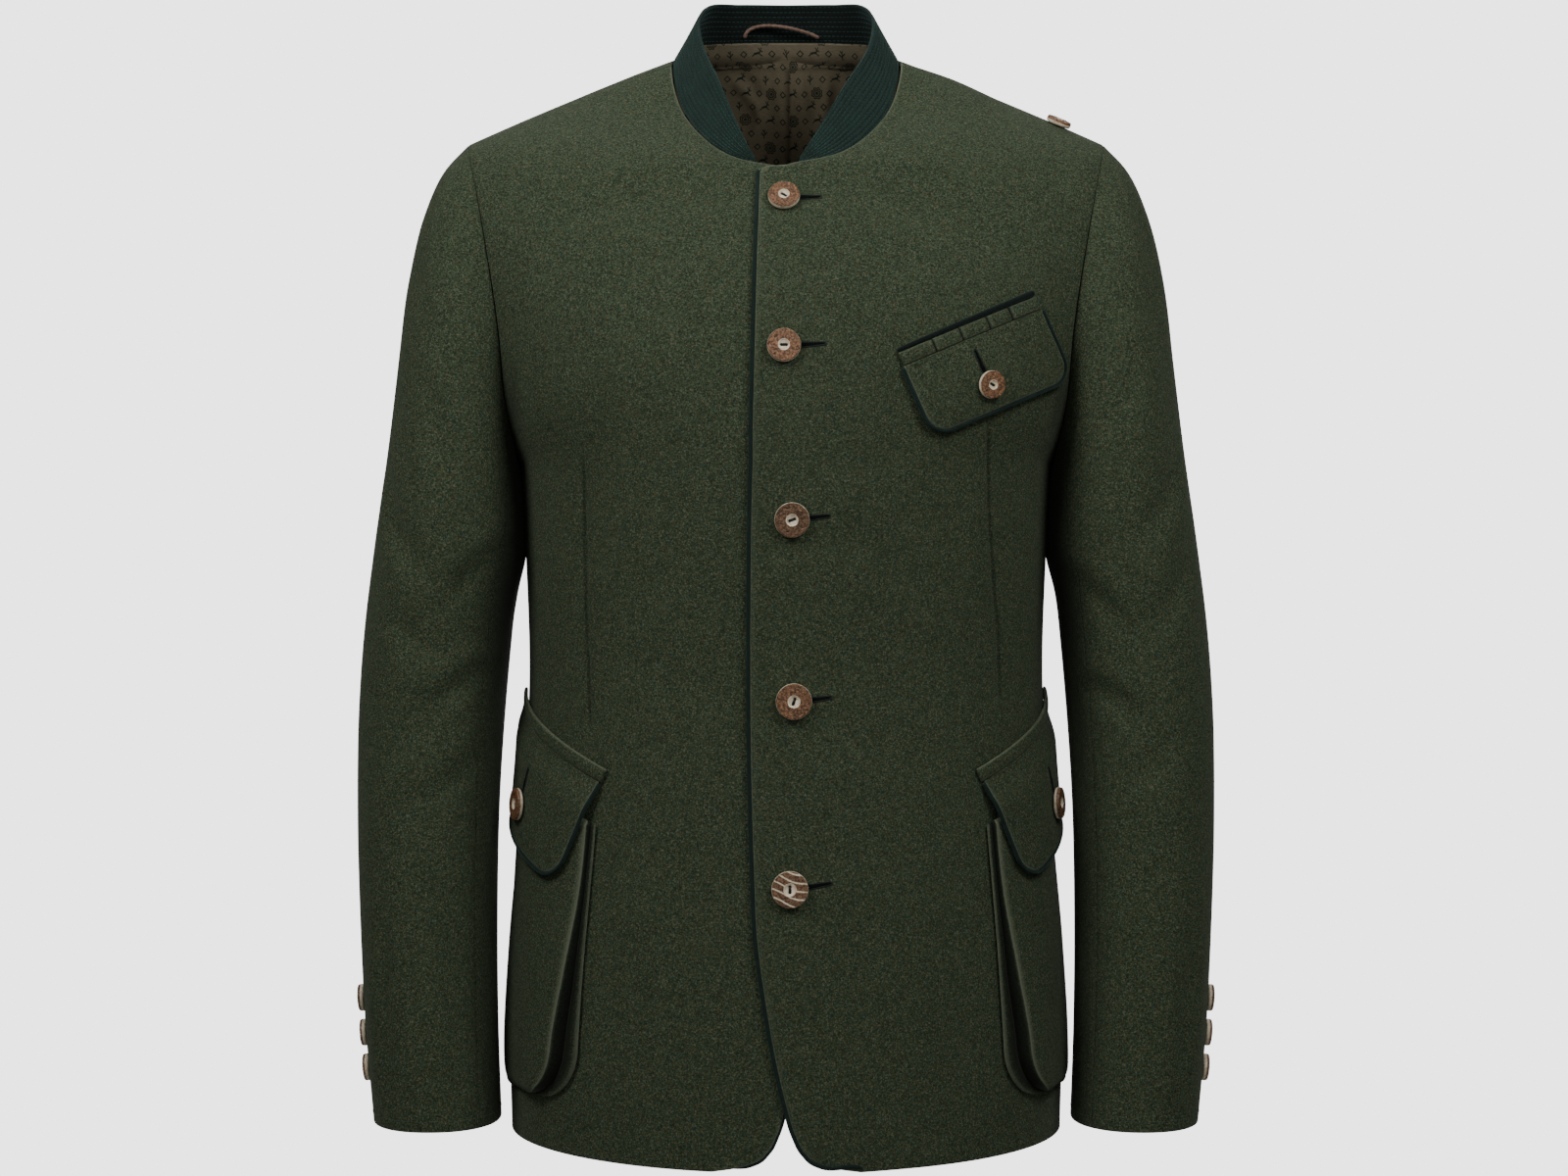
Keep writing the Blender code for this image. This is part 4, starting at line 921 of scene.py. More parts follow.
# %% [markdown]
# ### Fulled wool
#
# Loden is woven, fulled and brushed, so no weave shows. What shows is a felted mass of fibres
# dyed in several greens and browns. Three sizes of variation make it: soft blotches of one or two
# centimetres, flecks of one to two millimetres and single fibres below that. The nap also lifts a
# little light where the surface turns away, which the shader's sheen does.

# %% A group for the grain of fulled wool


def make_wool_grain():
    """Puts out blotch, tint, fleck and fibre values between 0 and 1, and a height for the nap."""
    group, given, result = new_group("wool_grain", {"Vector": None, "Fineness": 1.0},
                                     ("Blotch", "Tint", "Fleck", "Fibre", "Height"))
    where = scaled(given["Vector"], given["Fineness"])
    where = vector("ADD", where, scaled(noise(where, 900.0, 1.0, 0.5, "Color"), 0.0016))
    fibre = noise(stretched(where, (1.0, 1.0, 0.45)), 1500.0, 2.0, 0.7)
    cross = noise(stretched(where, (0.45, 1.0, 1.0)), 1300.0, 2.0, 0.7)
    made = {"Blotch": noise(where, 55.0, 3.0, 0.6), "Tint": noise(where, 430.0, 3.0, 0.7),
            "Fleck": noise(where, 760.0, 2.0, 0.75), "Fibre": (fibre + cross) * 0.5}
    made["Height"] = made["Fibre"] + made["Fleck"] * 0.5
    feed(result, made)
    return group


WOOL_GRAIN = make_wool_grain()

# %% Loden, green cloth and threads
LODEN_DARK = (0.0110, 0.0150, 0.0090)
LODEN_GREEN = (0.0320, 0.0520, 0.0240)
LODEN_BROWN = (0.0620, 0.0500, 0.0260)
LODEN_TEAL = (0.0180, 0.0440, 0.0360)
LODEN_OCHRE = (0.1350, 0.0900, 0.0400)
LODEN_PALE = (0.1250, 0.1350, 0.0900)
LODEN_PAINTED_SHADE = (0.0030, 0.0042, 0.0028)
LODEN_PAINTED_HIGHLIGHT = (0.1700, 0.1900, 0.1300)
GREEN_DARK = (0.0028, 0.0072, 0.0056)
GREEN_CLOTH = (0.0062, 0.0158, 0.0118)
GREEN_PALE = (0.0172, 0.0370, 0.0285)
GREEN_PAINTED_SHADE = (0.14, 0.16, 0.16)
WHITE = (1.0, 1.0, 1.0)


def make_loden():
    """Dark olive wool: blotches, coloured flecks, pale fibre ends, painted highlights and painted
    shade.
    """
    made, tree, shader = finish_material("loden", {
        "Roughness": 0.92, "Specular IOR Level": 0.14, "Sheen Weight": 0.06,
        "Sheen Roughness": 0.55, "Sheen Tint": (0.62, 0.68, 0.52)})
    grain = use_group(tree, WOOL_GRAIN, {"Vector": on_object(tree)})
    colour = ramp(grain["Tint"], (0.34, LODEN_TEAL), (0.46, LODEN_GREEN),
                  (0.56, LODEN_GREEN), (0.68, LODEN_BROWN))
    colour = times(colour, ramp(grain["Blotch"], (0.32, 0.93), (0.68, 1.06)))
    # Rim paints a highlight on edges, puffs and folds. The last layer paints shade in grooves,
    # recesses and where the sleeves hang before the body.
    for share, strength, paint in (
            (ramp(grain["Fibre"], (0.42, 1.0), (0.51, 0.0)), 0.95, LODEN_DARK),
            (ramp(grain["Fleck"], (0.58, 0.0), (0.68, 1.0)), 0.50, LODEN_OCHRE),
            (ramp(grain["Fibre"], (0.53, 0.0), (0.60, 1.0)), 0.78, LODEN_PALE),
            (attribute(tree, "rim"), 0.70, LODEN_PAINTED_HIGHLIGHT),
            (attribute(tree, "painted_shade"), 0.94, LODEN_PAINTED_SHADE)):
        colour = mix(share * strength, colour, paint)
    feed(shader, {"Base Color": colour, "Normal": bump(grain["Height"], 0.55, 0.0006)})
    return made


def make_green_cloth(name, fineness, lift):
    """Bottle-green felted cloth, finer than the loden. Lift brightens it a little; inside adds
    painted shade.
    """
    made, tree, shader = finish_material(name, {
        "Roughness": 0.90, "Specular IOR Level": 0.20, "Sheen Weight": 0.16,
        "Sheen Roughness": 0.50, "Sheen Tint": (0.45, 0.75, 0.68)})
    grain = use_group(tree, WOOL_GRAIN, {"Vector": on_object(tree), "Fineness": fineness})
    low, middle, high = (tuple(np.array(colour) * lift) for colour in
                         (GREEN_DARK, GREEN_CLOTH, GREEN_PALE))
    colour = ramp(grain["Fibre"], (0.36, low), (0.50, middle), (0.68, high))
    colour = times(colour, ramp(grain["Blotch"], (0.32, 0.82), (0.68, 1.15)))
    colour = times(colour, mix(attribute(tree, "inside"), WHITE, GREEN_PAINTED_SHADE))
    feed(shader, {"Base Color": colour, "Normal": bump(grain["Height"], 0.45, 0.0004)})
    return made


def make_thread(name, colour, scale=2600.0, roughness=0.5, dark=0.55, light=1.70, finish=()):
    """Thread or cord: one colour with darker and lighter strands by a fine noise."""
    made, tree, shader = finish_material(name, {"Roughness": 0.55, "Specular IOR Level": 0.35,
                                                **dict(finish)})
    low, high = (tuple(share * part for part in colour) for share in (dark, light))
    strands = noise(on_object(tree), scale, 2.0, roughness)
    feed(shader, {"Base Color": ramp(strands, (0.35, low), (0.65, high))})
    return made


LODEN = make_loden()
COLLAR_CLOTH = make_green_cloth("collar_cloth", 1.15, 1.0)
PIPING_CLOTH = make_green_cloth("piping_cloth", 1.6, 0.75)
COLLAR_THREAD = make_thread("collar_thread", (0.0110, 0.0420, 0.0360))
LODEN_THREAD = make_thread("loden_thread", (0.0450, 0.0620, 0.0360))
DARK_THREAD = make_thread("dark_thread", (0.0040, 0.0085, 0.0065))
CORD = make_thread("cord", (0.1300, 0.0720, 0.0480), 900.0, 0.6, 0.60, 1.35,
                   {"Roughness": 0.6, "Sheen Weight": 0.2})

# %% [markdown]
# ### Printed lining
#
# The lining is a satin with a small print in dark green. Small figures are drawn from capsules,
# rings and diamonds: each shape is a distance, and the nearest one decides where the ink lies.
# The cloth is divided into squares of a centimetre in a brick layout, and each square takes one
# of four figures.

# %% A group for one capsule of a figure


def make_capsule_group():
    """Distance to a stretch from Start to End, less Radius: |p - a - h(b - a)| - r."""
    group, given, result = new_group(
        "print_capsule", {"Vector": None, "Start": None, "End": None, "Radius": 0.03},
        ("Distance",))
    from_start = vector("SUBTRACT", given["Vector"], given["Start"])
    stretch = vector("SUBTRACT", given["End"], given["Start"])
    share = vector("DOT_PRODUCT", from_start, stretch).math(
        "DIVIDE", vector("DOT_PRODUCT", stretch, stretch))
    nearest = scaled(stretch, wire(group, "Clamp", {"Value": share}))
    away = vector("LENGTH", vector("SUBTRACT", from_start, nearest))
    feed(result, {"Distance": away - given["Radius"]})
    return group


PRINT_CAPSULE = make_capsule_group()

# %% A group for the whole print, with figures charted in a square of a centimetre
STAG = (  # start x, start y, end x, end y, radius
    (-0.20, 0.00, 0.10, 0.06, 0.075),
    (0.10, 0.06, 0.21, 0.20, 0.046),
    (0.21, 0.20, 0.32, 0.16, 0.040),
    (0.17, 0.22, 0.06, 0.40, 0.030),
    (0.20, 0.24, 0.25, 0.42, 0.028),
    (0.10, 0.00, 0.31, -0.16, 0.038),
    (-0.20, 0.00, -0.38, -0.16, 0.040))
SPRIG = (
    (0.00, -0.34, 0.02, 0.30, 0.032),
    (0.01, -0.08, 0.20, 0.10, 0.046),
    (0.00, -0.18, -0.20, 0.02, 0.046),
    (0.02, 0.10, -0.13, 0.26, 0.040))
DIAMOND_SIZE, DIAMOND_LINE = 0.215, 0.050
ROSETTE_RINGS = ((0.39, 0.042), (0.24, 0.046), (0.05, 0.066))
ROSETTE_PETALS, ROSETTE_WAVE = 8.0, 0.040
SQUARES_PER_METRE = 100.0
INK_EDGE = 0.012             # half the soft edge of a figure, in squares


def fold(operation, values):
    """Several values as one, by a Math node between each two."""
    found, *others = values
    for value in others:
        found = found.math(operation, value)
    return found


def make_print():
    """Ink mask of the repeat. Vector is in metres on the cloth."""
    group, given, result = new_group("lining_print", {"Vector": None}, ("Ink",))
    parts = add(group, "SeparateXYZ", {0: given["Vector"]}).outputs
    across, down = (Wire(parts[key]) * SQUARES_PER_METRE for key in ("X", "Y"))
    row = down.math("FLOOR")
    odd = row.math("FLOORED_MODULO", 2.0)
    across = across + odd * 0.5
    column = across.math("FLOOR")
    x, y = across - column - 0.5, 0.5 - (down - row)
    step = (row * 0.5).math("FLOOR").math("FLOORED_MODULO", 2.0) * 2.0
    kind = (column + step).math("FLOORED_MODULO", 4.0)
    place = wire(group, "CombineXYZ", {"X": x, "Y": y})
    stag, sprig = (fold("MINIMUM", [use_group(group, PRINT_CAPSULE, {
        "Vector": place, "Start": (a, b, 0.0), "End": (c, d, 0.0), "Radius": r})["Distance"]
        for a, b, c, d, r in figure]) for figure in (STAG, SPRIG))
    diamond = abs(abs(x) + abs(y) - DIAMOND_SIZE) - DIAMOND_LINE
    wave = (y.math("ARCTAN2", x) * ROSETTE_PETALS).math("COSINE") * ROSETTE_WAVE
    away = vector("LENGTH", place) + wave
    rosette = fold("MINIMUM", [abs(away - size) - line for size, line in ROSETTE_RINGS])
    first, third = (kind.math("COMPARE", number, 0.1) for number in (0.0, 2.0))
    even = 1.0 - odd
    inks = ((rosette, first * even), (stag, third * even + first * odd),
            (sprig, third * odd), (diamond, 1.0 - (first + third)))
    feed(result, {"Ink": fold("MAXIMUM", [wire(group, "MapRange", {
        "Value": distance, "From Min": INK_EDGE, "From Max": -INK_EDGE}) * here
        for distance, here in inks])})
    return group


LINING_PRINT = make_print()

# %% Lining, horn and painted shade for recesses
LINING_GROUND = (0.1300, 0.1110, 0.0720)
LINING_SHADE = (0.0800, 0.0670, 0.0430)
LINING_INK = (0.0020, 0.0080, 0.0050)
LINING_SEAM = (0.0240, 0.0180, 0.0120)
HORN_BARK = ((0.0200, 0.0105, 0.0060), (0.1350, 0.0700, 0.0360), (0.3300, 0.1950, 0.1050))
HORN_CREAM = (0.5900, 0.4800, 0.3200)
HORN_PALE = (0.7600, 0.6800, 0.5300)
HORN_HOLE_SHADE = (0.0060, 0.0040, 0.0030)
COOL_TONE, WARM_TONE = (0.62, 0.66, 0.66), (1.12, 0.97, 0.82)


def make_lining():
    """Printed satin: a warm ground with a fine crosswise shimmer, ink and dark seams."""
    made, tree, shader = finish_material("lining", {"Roughness": 0.45, "Specular IOR Level": 0.20})
    where = wire(tree, "UVMap", uv_map="cloth")      # in metres on the cloth
    shimmer = noise(stretched(where, (260.0, 2400.0, 1.0)), 1.0, 2.0, 0.6)
    ground = ramp(shimmer, (0.30, LINING_SHADE), (0.70, LINING_GROUND))
    worn = ramp(noise(where, 1100.0), (0.30, 0.85), (0.55, 1.00))
    ink = use_group(tree, LINING_PRINT, {"Vector": where})["Ink"]
    colour = mix(ink * worn, ground, LINING_INK)
    colour = mix(attribute(tree, "seam") * 0.85, colour, LINING_SEAM)
    feed(shader, {"Base Color": colour, "Normal": bump(shimmer, 0.15, 0.0002)})
    return made


def make_horn():
    """Stag horn: brown bark with pale pits, and the cream inside where it is ground away."""
    made, tree, shader = finish_material("horn", {"Roughness": 0.48, "Specular IOR Level": 0.4,
                                                  "Coat Weight": 0.06, "Coat Roughness": 0.3})
    where = on_object(tree)
    grain = noise(where, 780.0, 4.0, 0.7)
    bark = ramp(grain, *zip((0.36, 0.50, 0.66), HORN_BARK))
    bark = times(bark, ramp(attribute(tree, "tone"), (0.0, COOL_TONE), (1.0, WARM_TONE)))
    cream = ramp(noise(where, 420.0, 3.0, 0.6), (0.35, HORN_CREAM), (0.65, HORN_PALE))
    share = attribute(tree, "cream") + (noise(where, 900.0, 3.0, 0.7) - 0.5) * 0.9
    colour = mix(ramp(share, (0.38, 0.0), (0.62, 1.0)), bark, cream)
    # The drilled holes are darkened with painted shade.
    colour = mix(attribute(tree, "hole"), colour, HORN_HOLE_SHADE)
    feed(shader, {"Base Color": colour, "Normal": bump(grain, 0.35, 0.0004)})
    return made


LINING = make_lining()
HORN = make_horn()
# A near-black material of painted shade, for the groove of the armhole seams and buttonhole slits.
RECESS_PAINTED_SHADE = finish_material("recess_painted_shade", {"Base Color": (0.0030, 0.0040, 0.0030), "Roughness": 0.95,
                                    "Specular IOR Level": 0.1})[0]
print("materials:", [made.name for made in bpy.data.materials])

# %% [markdown]
# ## The two fronts
#
# A tailor cuts each front as one piece and turns in its free edge. Here each row of the front
# starts at that edge (or at the neck line) and ends at the side seam (or the armhole), so the
# grid's own sides are the cut's edges. Columns crowd together at the dart, whose sewn groove is
# only a millimetre wide. The wearer's left front lies on top, so it is lifted where the two
# overlap.

# %% Rows of a front
CORNER_RADIUS = 0.0060       # rounded top corner of the overlap
HEM_ROWS, HEM_ROWS_TOP = 20, 0.0300      # close rows above the hem, where the corner is round
FRONT_ROWS, NECK_ROWS = 130, 42
TURN_LEVEL = 0.80            # from here on the rows turn, to end level with the shoulder seam
TOP_STEPS = 0.0011 * NEAR_EDGE[::-1]     # the last rows before the shoulder seam, as levels
SIDE_SHADE, DART_SHADE = 0.6, 0.5
SHADE_FROM = (0.94, 0.06)    # share of the half width, and over what share it grows
SHADE_BELOW = (-0.18, 0.06)  # height, and over what distance it grows
DART_HALF = np.array((0.5, 1.0, 1.5, 2.2, 3.4, 5.2, 8.0)) * 0.001
DART_COLUMNS = np.concatenate([-DART_HALF[::-1], [0.0], DART_HALF])
DART_LIMIT = 330             # columns of the form in which the dart can lie
FRONT_INNER, FRONT_OUTER = 40, 24    # columns before and after the dart


def front_level(z):
    """Level of a front row by the height of its middle."""
    return np.interp(z, (HEM_Z, UNDERARM_Z, PIT_Z), (0.0, UNDERARM_LEVEL, PIT_LEVEL))


def front_rows():
    """Where each row starts (level and distance from the middle) and the level where it ends."""
    hem_top = HEM_Z + HEM_ROWS_TOP
    z = np.concatenate([HEM_Z + NEAR_EDGE * EDGE_ROUND,
                        HEM_Z + np.linspace(0.0019, HEM_ROWS_TOP, HEM_ROWS),
                        np.linspace(hem_top, PIT_Z - CORNER_RADIUS, FRONT_ROWS)[1:]])
    turn = np.linspace(0, np.pi / 2, 9)[1:]
    edge = between(FRONT_EDGE, "x", z)
    corner = edge[-1] + CORNER_RADIUS * (1 - np.cos(turn))
    top = np.linspace(corner[-1], 0, 9)[1:]
    rise = np.linspace(PIT_LEVEL, TOP_LEVEL, NECK_ROWS)[1:-1]
    near = TOP_LEVEL - TOP_STEPS
    neck = np.concatenate([rise[rise < near[0] - 0.001], near])
    level = np.concatenate([front_level(z), front_level(z[-1] + CORNER_RADIUS * np.sin(turn)),
                            0 * top + PIT_LEVEL, neck])
    start = np.concatenate([edge, corner, top, GAP + 0 * neck])
    count = np.arange(len(level))
    turn_row = np.searchsorted(level, TURN_LEVEL)
    last_row = len(level) - len(near)
    turned = np.interp(count, (turn_row, last_row), level[[turn_row, last_row]])
    end = np.where(count < turn_row, level, turned)
    end[last_row:] = near
    return level, start, end


def dart_arcs(side, level):
    """Distance along each row at which it meets the line of the dart."""
    form, dart = TORSO[-1, side], DARTS[side]
    x = np.abs(form.points[:, :DART_LIMIT, 0])
    line = np.interp(-form.points[:, FORM_COLUMNS // 2, 2], -dart["z"], dart["x"])
    found = [np.interp(at, row, form.share[:DART_LIMIT]) for at, row in zip(line, x)]
    return np.interp(level, form.level, np.array(found) * ROW_WIDTH[-1])


def body_shade(points):
    """Shade on the body's sides below the armholes, where the sleeves hang close before it."""
    reach = np.abs(points[..., 0]) / between(BODY, "half_width", points[..., 2])
    return (SIDE_SHADE * ease((reach - SHADE_FROM[0]) / SHADE_FROM[1])
            * ease((SHADE_BELOW[0] - points[..., 2]) / SHADE_BELOW[1]))


def build_front(side):
    """One front: rows as above, with close columns at the edges and at the dart."""
    level, start, end_level = front_rows()
    width = row_width(-1, level)[:, None]
    first = start[:, None] / width * width
    dart = dart_arcs(side, level)[:, None]
    inner_start, outer_start = first + EDGE_ROUND, dart + DART_COLUMNS[-1]
    inner, outer = (np.linspace(0, 1, count)[1:] for count in (FRONT_INNER, FRONT_OUTER))
    arc = np.hstack([first + EDGE_ROUND * NEAR_EDGE,
                     inner_start + (dart + DART_COLUMNS[0] - inner_start) * inner,
                     dart + DART_COLUMNS[1:],
                     outer_start + (width - SEAM_ROUND - outer_start) * outer,
                     width - SEAM_ROUND * NEAR_EDGE[::-1][1:]])
    share, start_share = arc / width, start[:, None] / width
    along = (share - start_share) / (1 - start_share)
    rows = level[:, None] + (end_level - level)[:, None] * along
    points, normals = read_half(-1, side, rows, share)
    lift = overlap_lift(share * row_width(-1, rows)) if side == "left" else 0.0
    half = WALL / 2 * edge_share(points, top=SEAM_ROUND, end=SEAM_ROUND)
    # The dart's groove gets a thin line of painted shade, and the sides painted shade below the
    # arms.
    beside, reach = dart_place(points[..., 0], points[..., 2], DARTS[side])
    groove = DART_SHADE * reach * np.exp(-(beside / DART_WIDTH) ** 2)
    return wall_parts(points, normals, lift - WALL / 2, half), {
        "rim": edge_glow(points, "start"),
        "painted_shade": twice(np.maximum(body_shade(points), groove))}


def add_cloth(name, parts, material, slot, flat, rests_on, held="hung", **extra):
    """A cloth piece that stands for the CAD node of the same name."""
    piece = make_piece(f"{name}_cloth", parts, material, slot, name, **extra)
    print(piece.name, len(piece.data.polygons), "faces", tuple(np.round(piece.dimensions, 3)))


def add_loden(name, parts, values, flat, rests_on, held="hung"):
    """A cloth piece of loden."""
    add_cloth(name, parts, LODEN, "loden", flat, rests_on, held, values=values)


for side, other in zip(SIDES, SIDES[::-1]):
    add_loden(f"front_{side}", *build_front(side), (0.330, 0.730), [f"front_{other}_cloth"])

# %% [markdown]
# ## The back
#
# The back hangs from the shoulders and the nape in one piece. Its two halves are separate grids,
# because their folds differ, and they are welded down the middle.

# %% Build the back
BACK_COLUMNS = 56
BACK_ROWS, YOKE_ROWS = 150, 28       # below and above the nape


def build_back():
    """Two half grids, each from the middle (or the neck line) to the side seam or armhole."""
    near = SEAM_ROUND * NEAR_EDGE
    level = np.concatenate([
        level_of(HEM_Z + EDGE_ROUND * NEAR_EDGE),
        np.linspace(0.004, NAPE_LEVEL - 0.0012, BACK_ROWS),
        NAPE_LEVEL - near[::-1][1:], NAPE_LEVEL + near[1:],
        np.linspace(NAPE_LEVEL + 0.003, TOP_LEVEL - 0.0022, YOKE_ROWS), TOP_LEVEL - TOP_STEPS])
    width = row_width(1, level)[:, None]
    open_neck = level > NAPE_LEVEL + 1e-9
    first = np.where(open_neck, GAP, 0.0)[:, None]
    arc = np.hstack([first + EDGE_ROUND * NEAR_EDGE,
                     first + EDGE_ROUND + (width - SEAM_ROUND - first - EDGE_ROUND)
                     * np.linspace(0, 1, BACK_COLUMNS)[1:],
                     width - SEAM_ROUND * NEAR_EDGE[::-1][1:]])
    share = arc / width
    rows = np.broadcast_to(level[:, None], share.shape)
    halves = []
    for side in SIDES:
        points, normals = TORSO[1, side].read(rows, share)
        neck = points[level >= NAPE_LEVEL - 1e-9, 0]
        half = edge_share(points, start=0, top=SEAM_ROUND, end=SEAM_ROUND)
        half = WALL / 2 * half * quarter(edge_distance(points, neck), SEAM_ROUND)
        halves.append((points, normals, half))
    for left, right in zip(*halves):     # both halves take the same middle line, so they weld
        middle = (left[~open_neck, 0] + right[~open_neck, 0]) / 2
        left[~open_neck, 0] = right[~open_neck, 0] = middle
    parts = [wall_parts(points, normals, -WALL / 2, half) for points, normals, half in halves]
    # Painted shade on the back's sides below the armholes.
    shades = [twice(body_shade(points)) for points, _, _ in halves]
    return join_parts(parts), {"painted_shade": np.concatenate(shades)}


add_loden("back", *build_back(), (0.600, 0.740), ["front_left_cloth"])

# %% [markdown]
# ## Two-piece sleeves
#
# A tailored sleeve has an upper and an under piece, joined by two seams, so it can bend forward
# at the elbow. Rings from the armhole to the cuff give its form. The folds lie in front of the
# elbow, where the arm bends, and along the forearm, where the cloth hangs.

# %% Sleeve folds, by the angle round the sleeve (0 outside, 90 front, 180 inside) and the height
SLEEVE_FOLDS = {
    "right": table(
        "angle0 z0      angle1 z1      bow     depth   width",
        (28.0,  -0.276, 92.0,  -0.352, 0.006,  0.0024, 0.0085),
        (60.0,  -0.212, 118.0, -0.300, 0.004,  0.0014, 0.0110),
        (150.0, -0.318, 96.0,  -0.372, 0.005,  0.0020, 0.0080),
        (60.0,  -0.372, 112.0, -0.402, 0.004,  0.0016, 0.0100),
        (152.0, -0.402, 84.0,  -0.446, 0.006,  0.0018, 0.0085),
        (140.0, -0.462, 70.0,  -0.505, -0.004, 0.0012, 0.0100),
        (62.0,  -0.560, 56.0,  -0.705, 0.003,  0.0017, 0.0085),
        (112.0, -0.545, 118.0, -0.700, -0.003, 0.0010, 0.0110),
        (30.0,  -0.120, 70.0,  -0.205, 0.006,  0.0010, 0.0130),
        (200.0, -0.330, 262.0, -0.392, 0.006,  0.0020, 0.0110),
        (300.0, -0.250, 262.0, -0.345, -0.006, 0.0018, 0.0120),
        (240.0, -0.470, 300.0, -0.545, 0.008,  0.0016, 0.0130),
        (-70.0, -0.580, -62.0, -0.705, 0.004,  0.0015, 0.0120)),
    "left": table(
        "angle0 z0      angle1 z1      bow     depth   width",
        (34.0,  -0.262, 98.0,  -0.330, 0.006,  0.0020, 0.0090),
        (64.0,  -0.190, 112.0, -0.262, 0.004,  0.0013, 0.0110),
        (40.0,  -0.330, 96.0,  -0.386, 0.005,  0.0018, 0.0090),
        (150.0, -0.338, 100.0, -0.388, 0.005,  0.0017, 0.0080),
        (148.0, -0.415, 86.0,  -0.452, 0.006,  0.0019, 0.0085),
        (70.0,  -0.450, 118.0, -0.486, 0.004,  0.0011, 0.0110),
        (50.0,  -0.570, 58.0,  -0.706, -0.003, 0.0015, 0.0090),
        (104.0, -0.556, 100.0, -0.704, 0.003,  0.0011, 0.0110),
        (28.0,  -0.110, 66.0,  -0.190, 0.006,  0.0011, 0.0130),
        (205.0, -0.322, 268.0, -0.380, 0.006,  0.0021, 0.0110),
        (296.0, -0.262, 258.0, -0.352, -0.006, 0.0017, 0.0120),
        (236.0, -0.455, 292.0, -0.538, 0.008,  0.0017, 0.0130),
        (-64.0, -0.590, -70.0, -0.708, 0.004,  0.0014, 0.0120))}
METRES_PER_DEGREE = 0.00104      # round the middle of a sleeve
FOLD_DEPTH = 1.5                 # all of a sleeve's folds together
SLEEVE_STEPS = run_of(np.stack([SLEEVE["outer_x"] + SLEEVE["inner_x"],
                                SLEEVE["outer_z"] + SLEEVE["inner_z"]], -1))
SLEEVE_LENGTH = SLEEVE_STEPS[-1]    # twice that of its middle line

# %% The sleeve's form
ALONG_STEPS = 361
CAP_FADE, CUFF_FADE = 0.06, 0.02     # folds fade out toward both ends, as shares of the length
FIRST_ANGLE, TURN, HALF_TURN = -180, 360, 180    # degrees, and as many columns


def ring(column, angle):
    """A ring between its outer and inner end, a little squarer than an ellipse."""
    turn = np.radians(angle)
    share = (1 + fuller(np.cos(turn), SLEEVE_SQUARE)) / 2
    x, z = (column[f"inner_{key}"] + (column[f"outer_{key}"] - column[f"inner_{key}"]) * share
            for key in "xz")
    return stack(x, column["middle_y"] - fuller(np.sin(turn), SLEEVE_SQUARE)
                 * column["half_depth"], z)


def sleeve_points(along, angle):
    """The left sleeve's outer face. Along is 0 at the armhole and 1 at the cuff."""
    at = along * SLEEVE_LENGTH
    here = ring({name: smooth(at, SLEEVE_STEPS, SLEEVE[name]) for name in SLEEVE}, angle)
    first = ring({name: SLEEVE[name][0] for name in SLEEVE}, angle)
    near = 1 - ease(at / SLEEVE_STEPS[SLEEVE_CAP_STEP])
    return here + (armhole_line(angle) - first) * near[..., None]


def make_sleeve(side):
    """A fine grid of one sleeve, a turn and a half round so that its seams can be read."""
    along = np.linspace(0, 1, ALONG_STEPS)
    angle = np.arange(FIRST_ANGLE, TURN + 1.0)
    points = sleeve_points(along[:, None], angle[None, :])
    middle = points[:, :TURN].mean(axis=1, keepdims=True)
    normals = face_normals(points, points - middle)
    folds = dict(SLEEVE_FOLDS[side])
    for key in ("angle0", "angle1"):
        folds[key] = folds[key] * METRES_PER_DEGREE
    z = points[..., 2]
    height = FOLD_DEPTH * sum(fold_height((angle + turn) * METRES_PER_DEGREE + 0 * z, z, folds)
                              for turn in (-TURN, 0, TURN))
    fade = ease(along / CAP_FADE) * ease((1 - along) / CUFF_FADE)
    points = lie(points, normals, height * fade[:, None])
    points[:, TURN:] = points[:, :HALF_TURN + 1]
    normals = face_normals(points, points - middle)
    normals[:, TURN:] = normals[:, :HALF_TURN + 1]
    turned = across_middle(1 if side == "left" else -1)
    return Lattice(along, angle, points * turned, normals * turned)


SLEEVES = {side: make_sleeve(side) for side in SIDES}
print("sleeve grid", SLEEVES["left"].points.shape)

# %% Build the sleeves
SLEEVE_ROWS = 170
SLEEVE_PARTS = {"upper": (50, (0.240, 0.640)), "under": (38, (0.180, 0.560))}   # columns, flat
PART_WIDTH = 0.17            # of a sleeve piece, for its close columns at the seams
SHADE_HALF, SHADE_FADE = 22, 42      # degrees round the sleeve, from the middle of its inner side
SHADE_LOSS, SHADE_DOWN = 0.6, (0.30, 0.35)       # how much it weakens, from where, over what share


def sleeve_shade(along, angle):
    """Shade on the side of a sleeve that faces the body, fading round it and down it."""
    facing = 1 - ease((np.abs(angle - HALF_TURN) - SHADE_HALF) / SHADE_FADE)
    return facing * (1.0 - SHADE_LOSS * ease((along - SHADE_DOWN[0]) / SHADE_DOWN[1]))


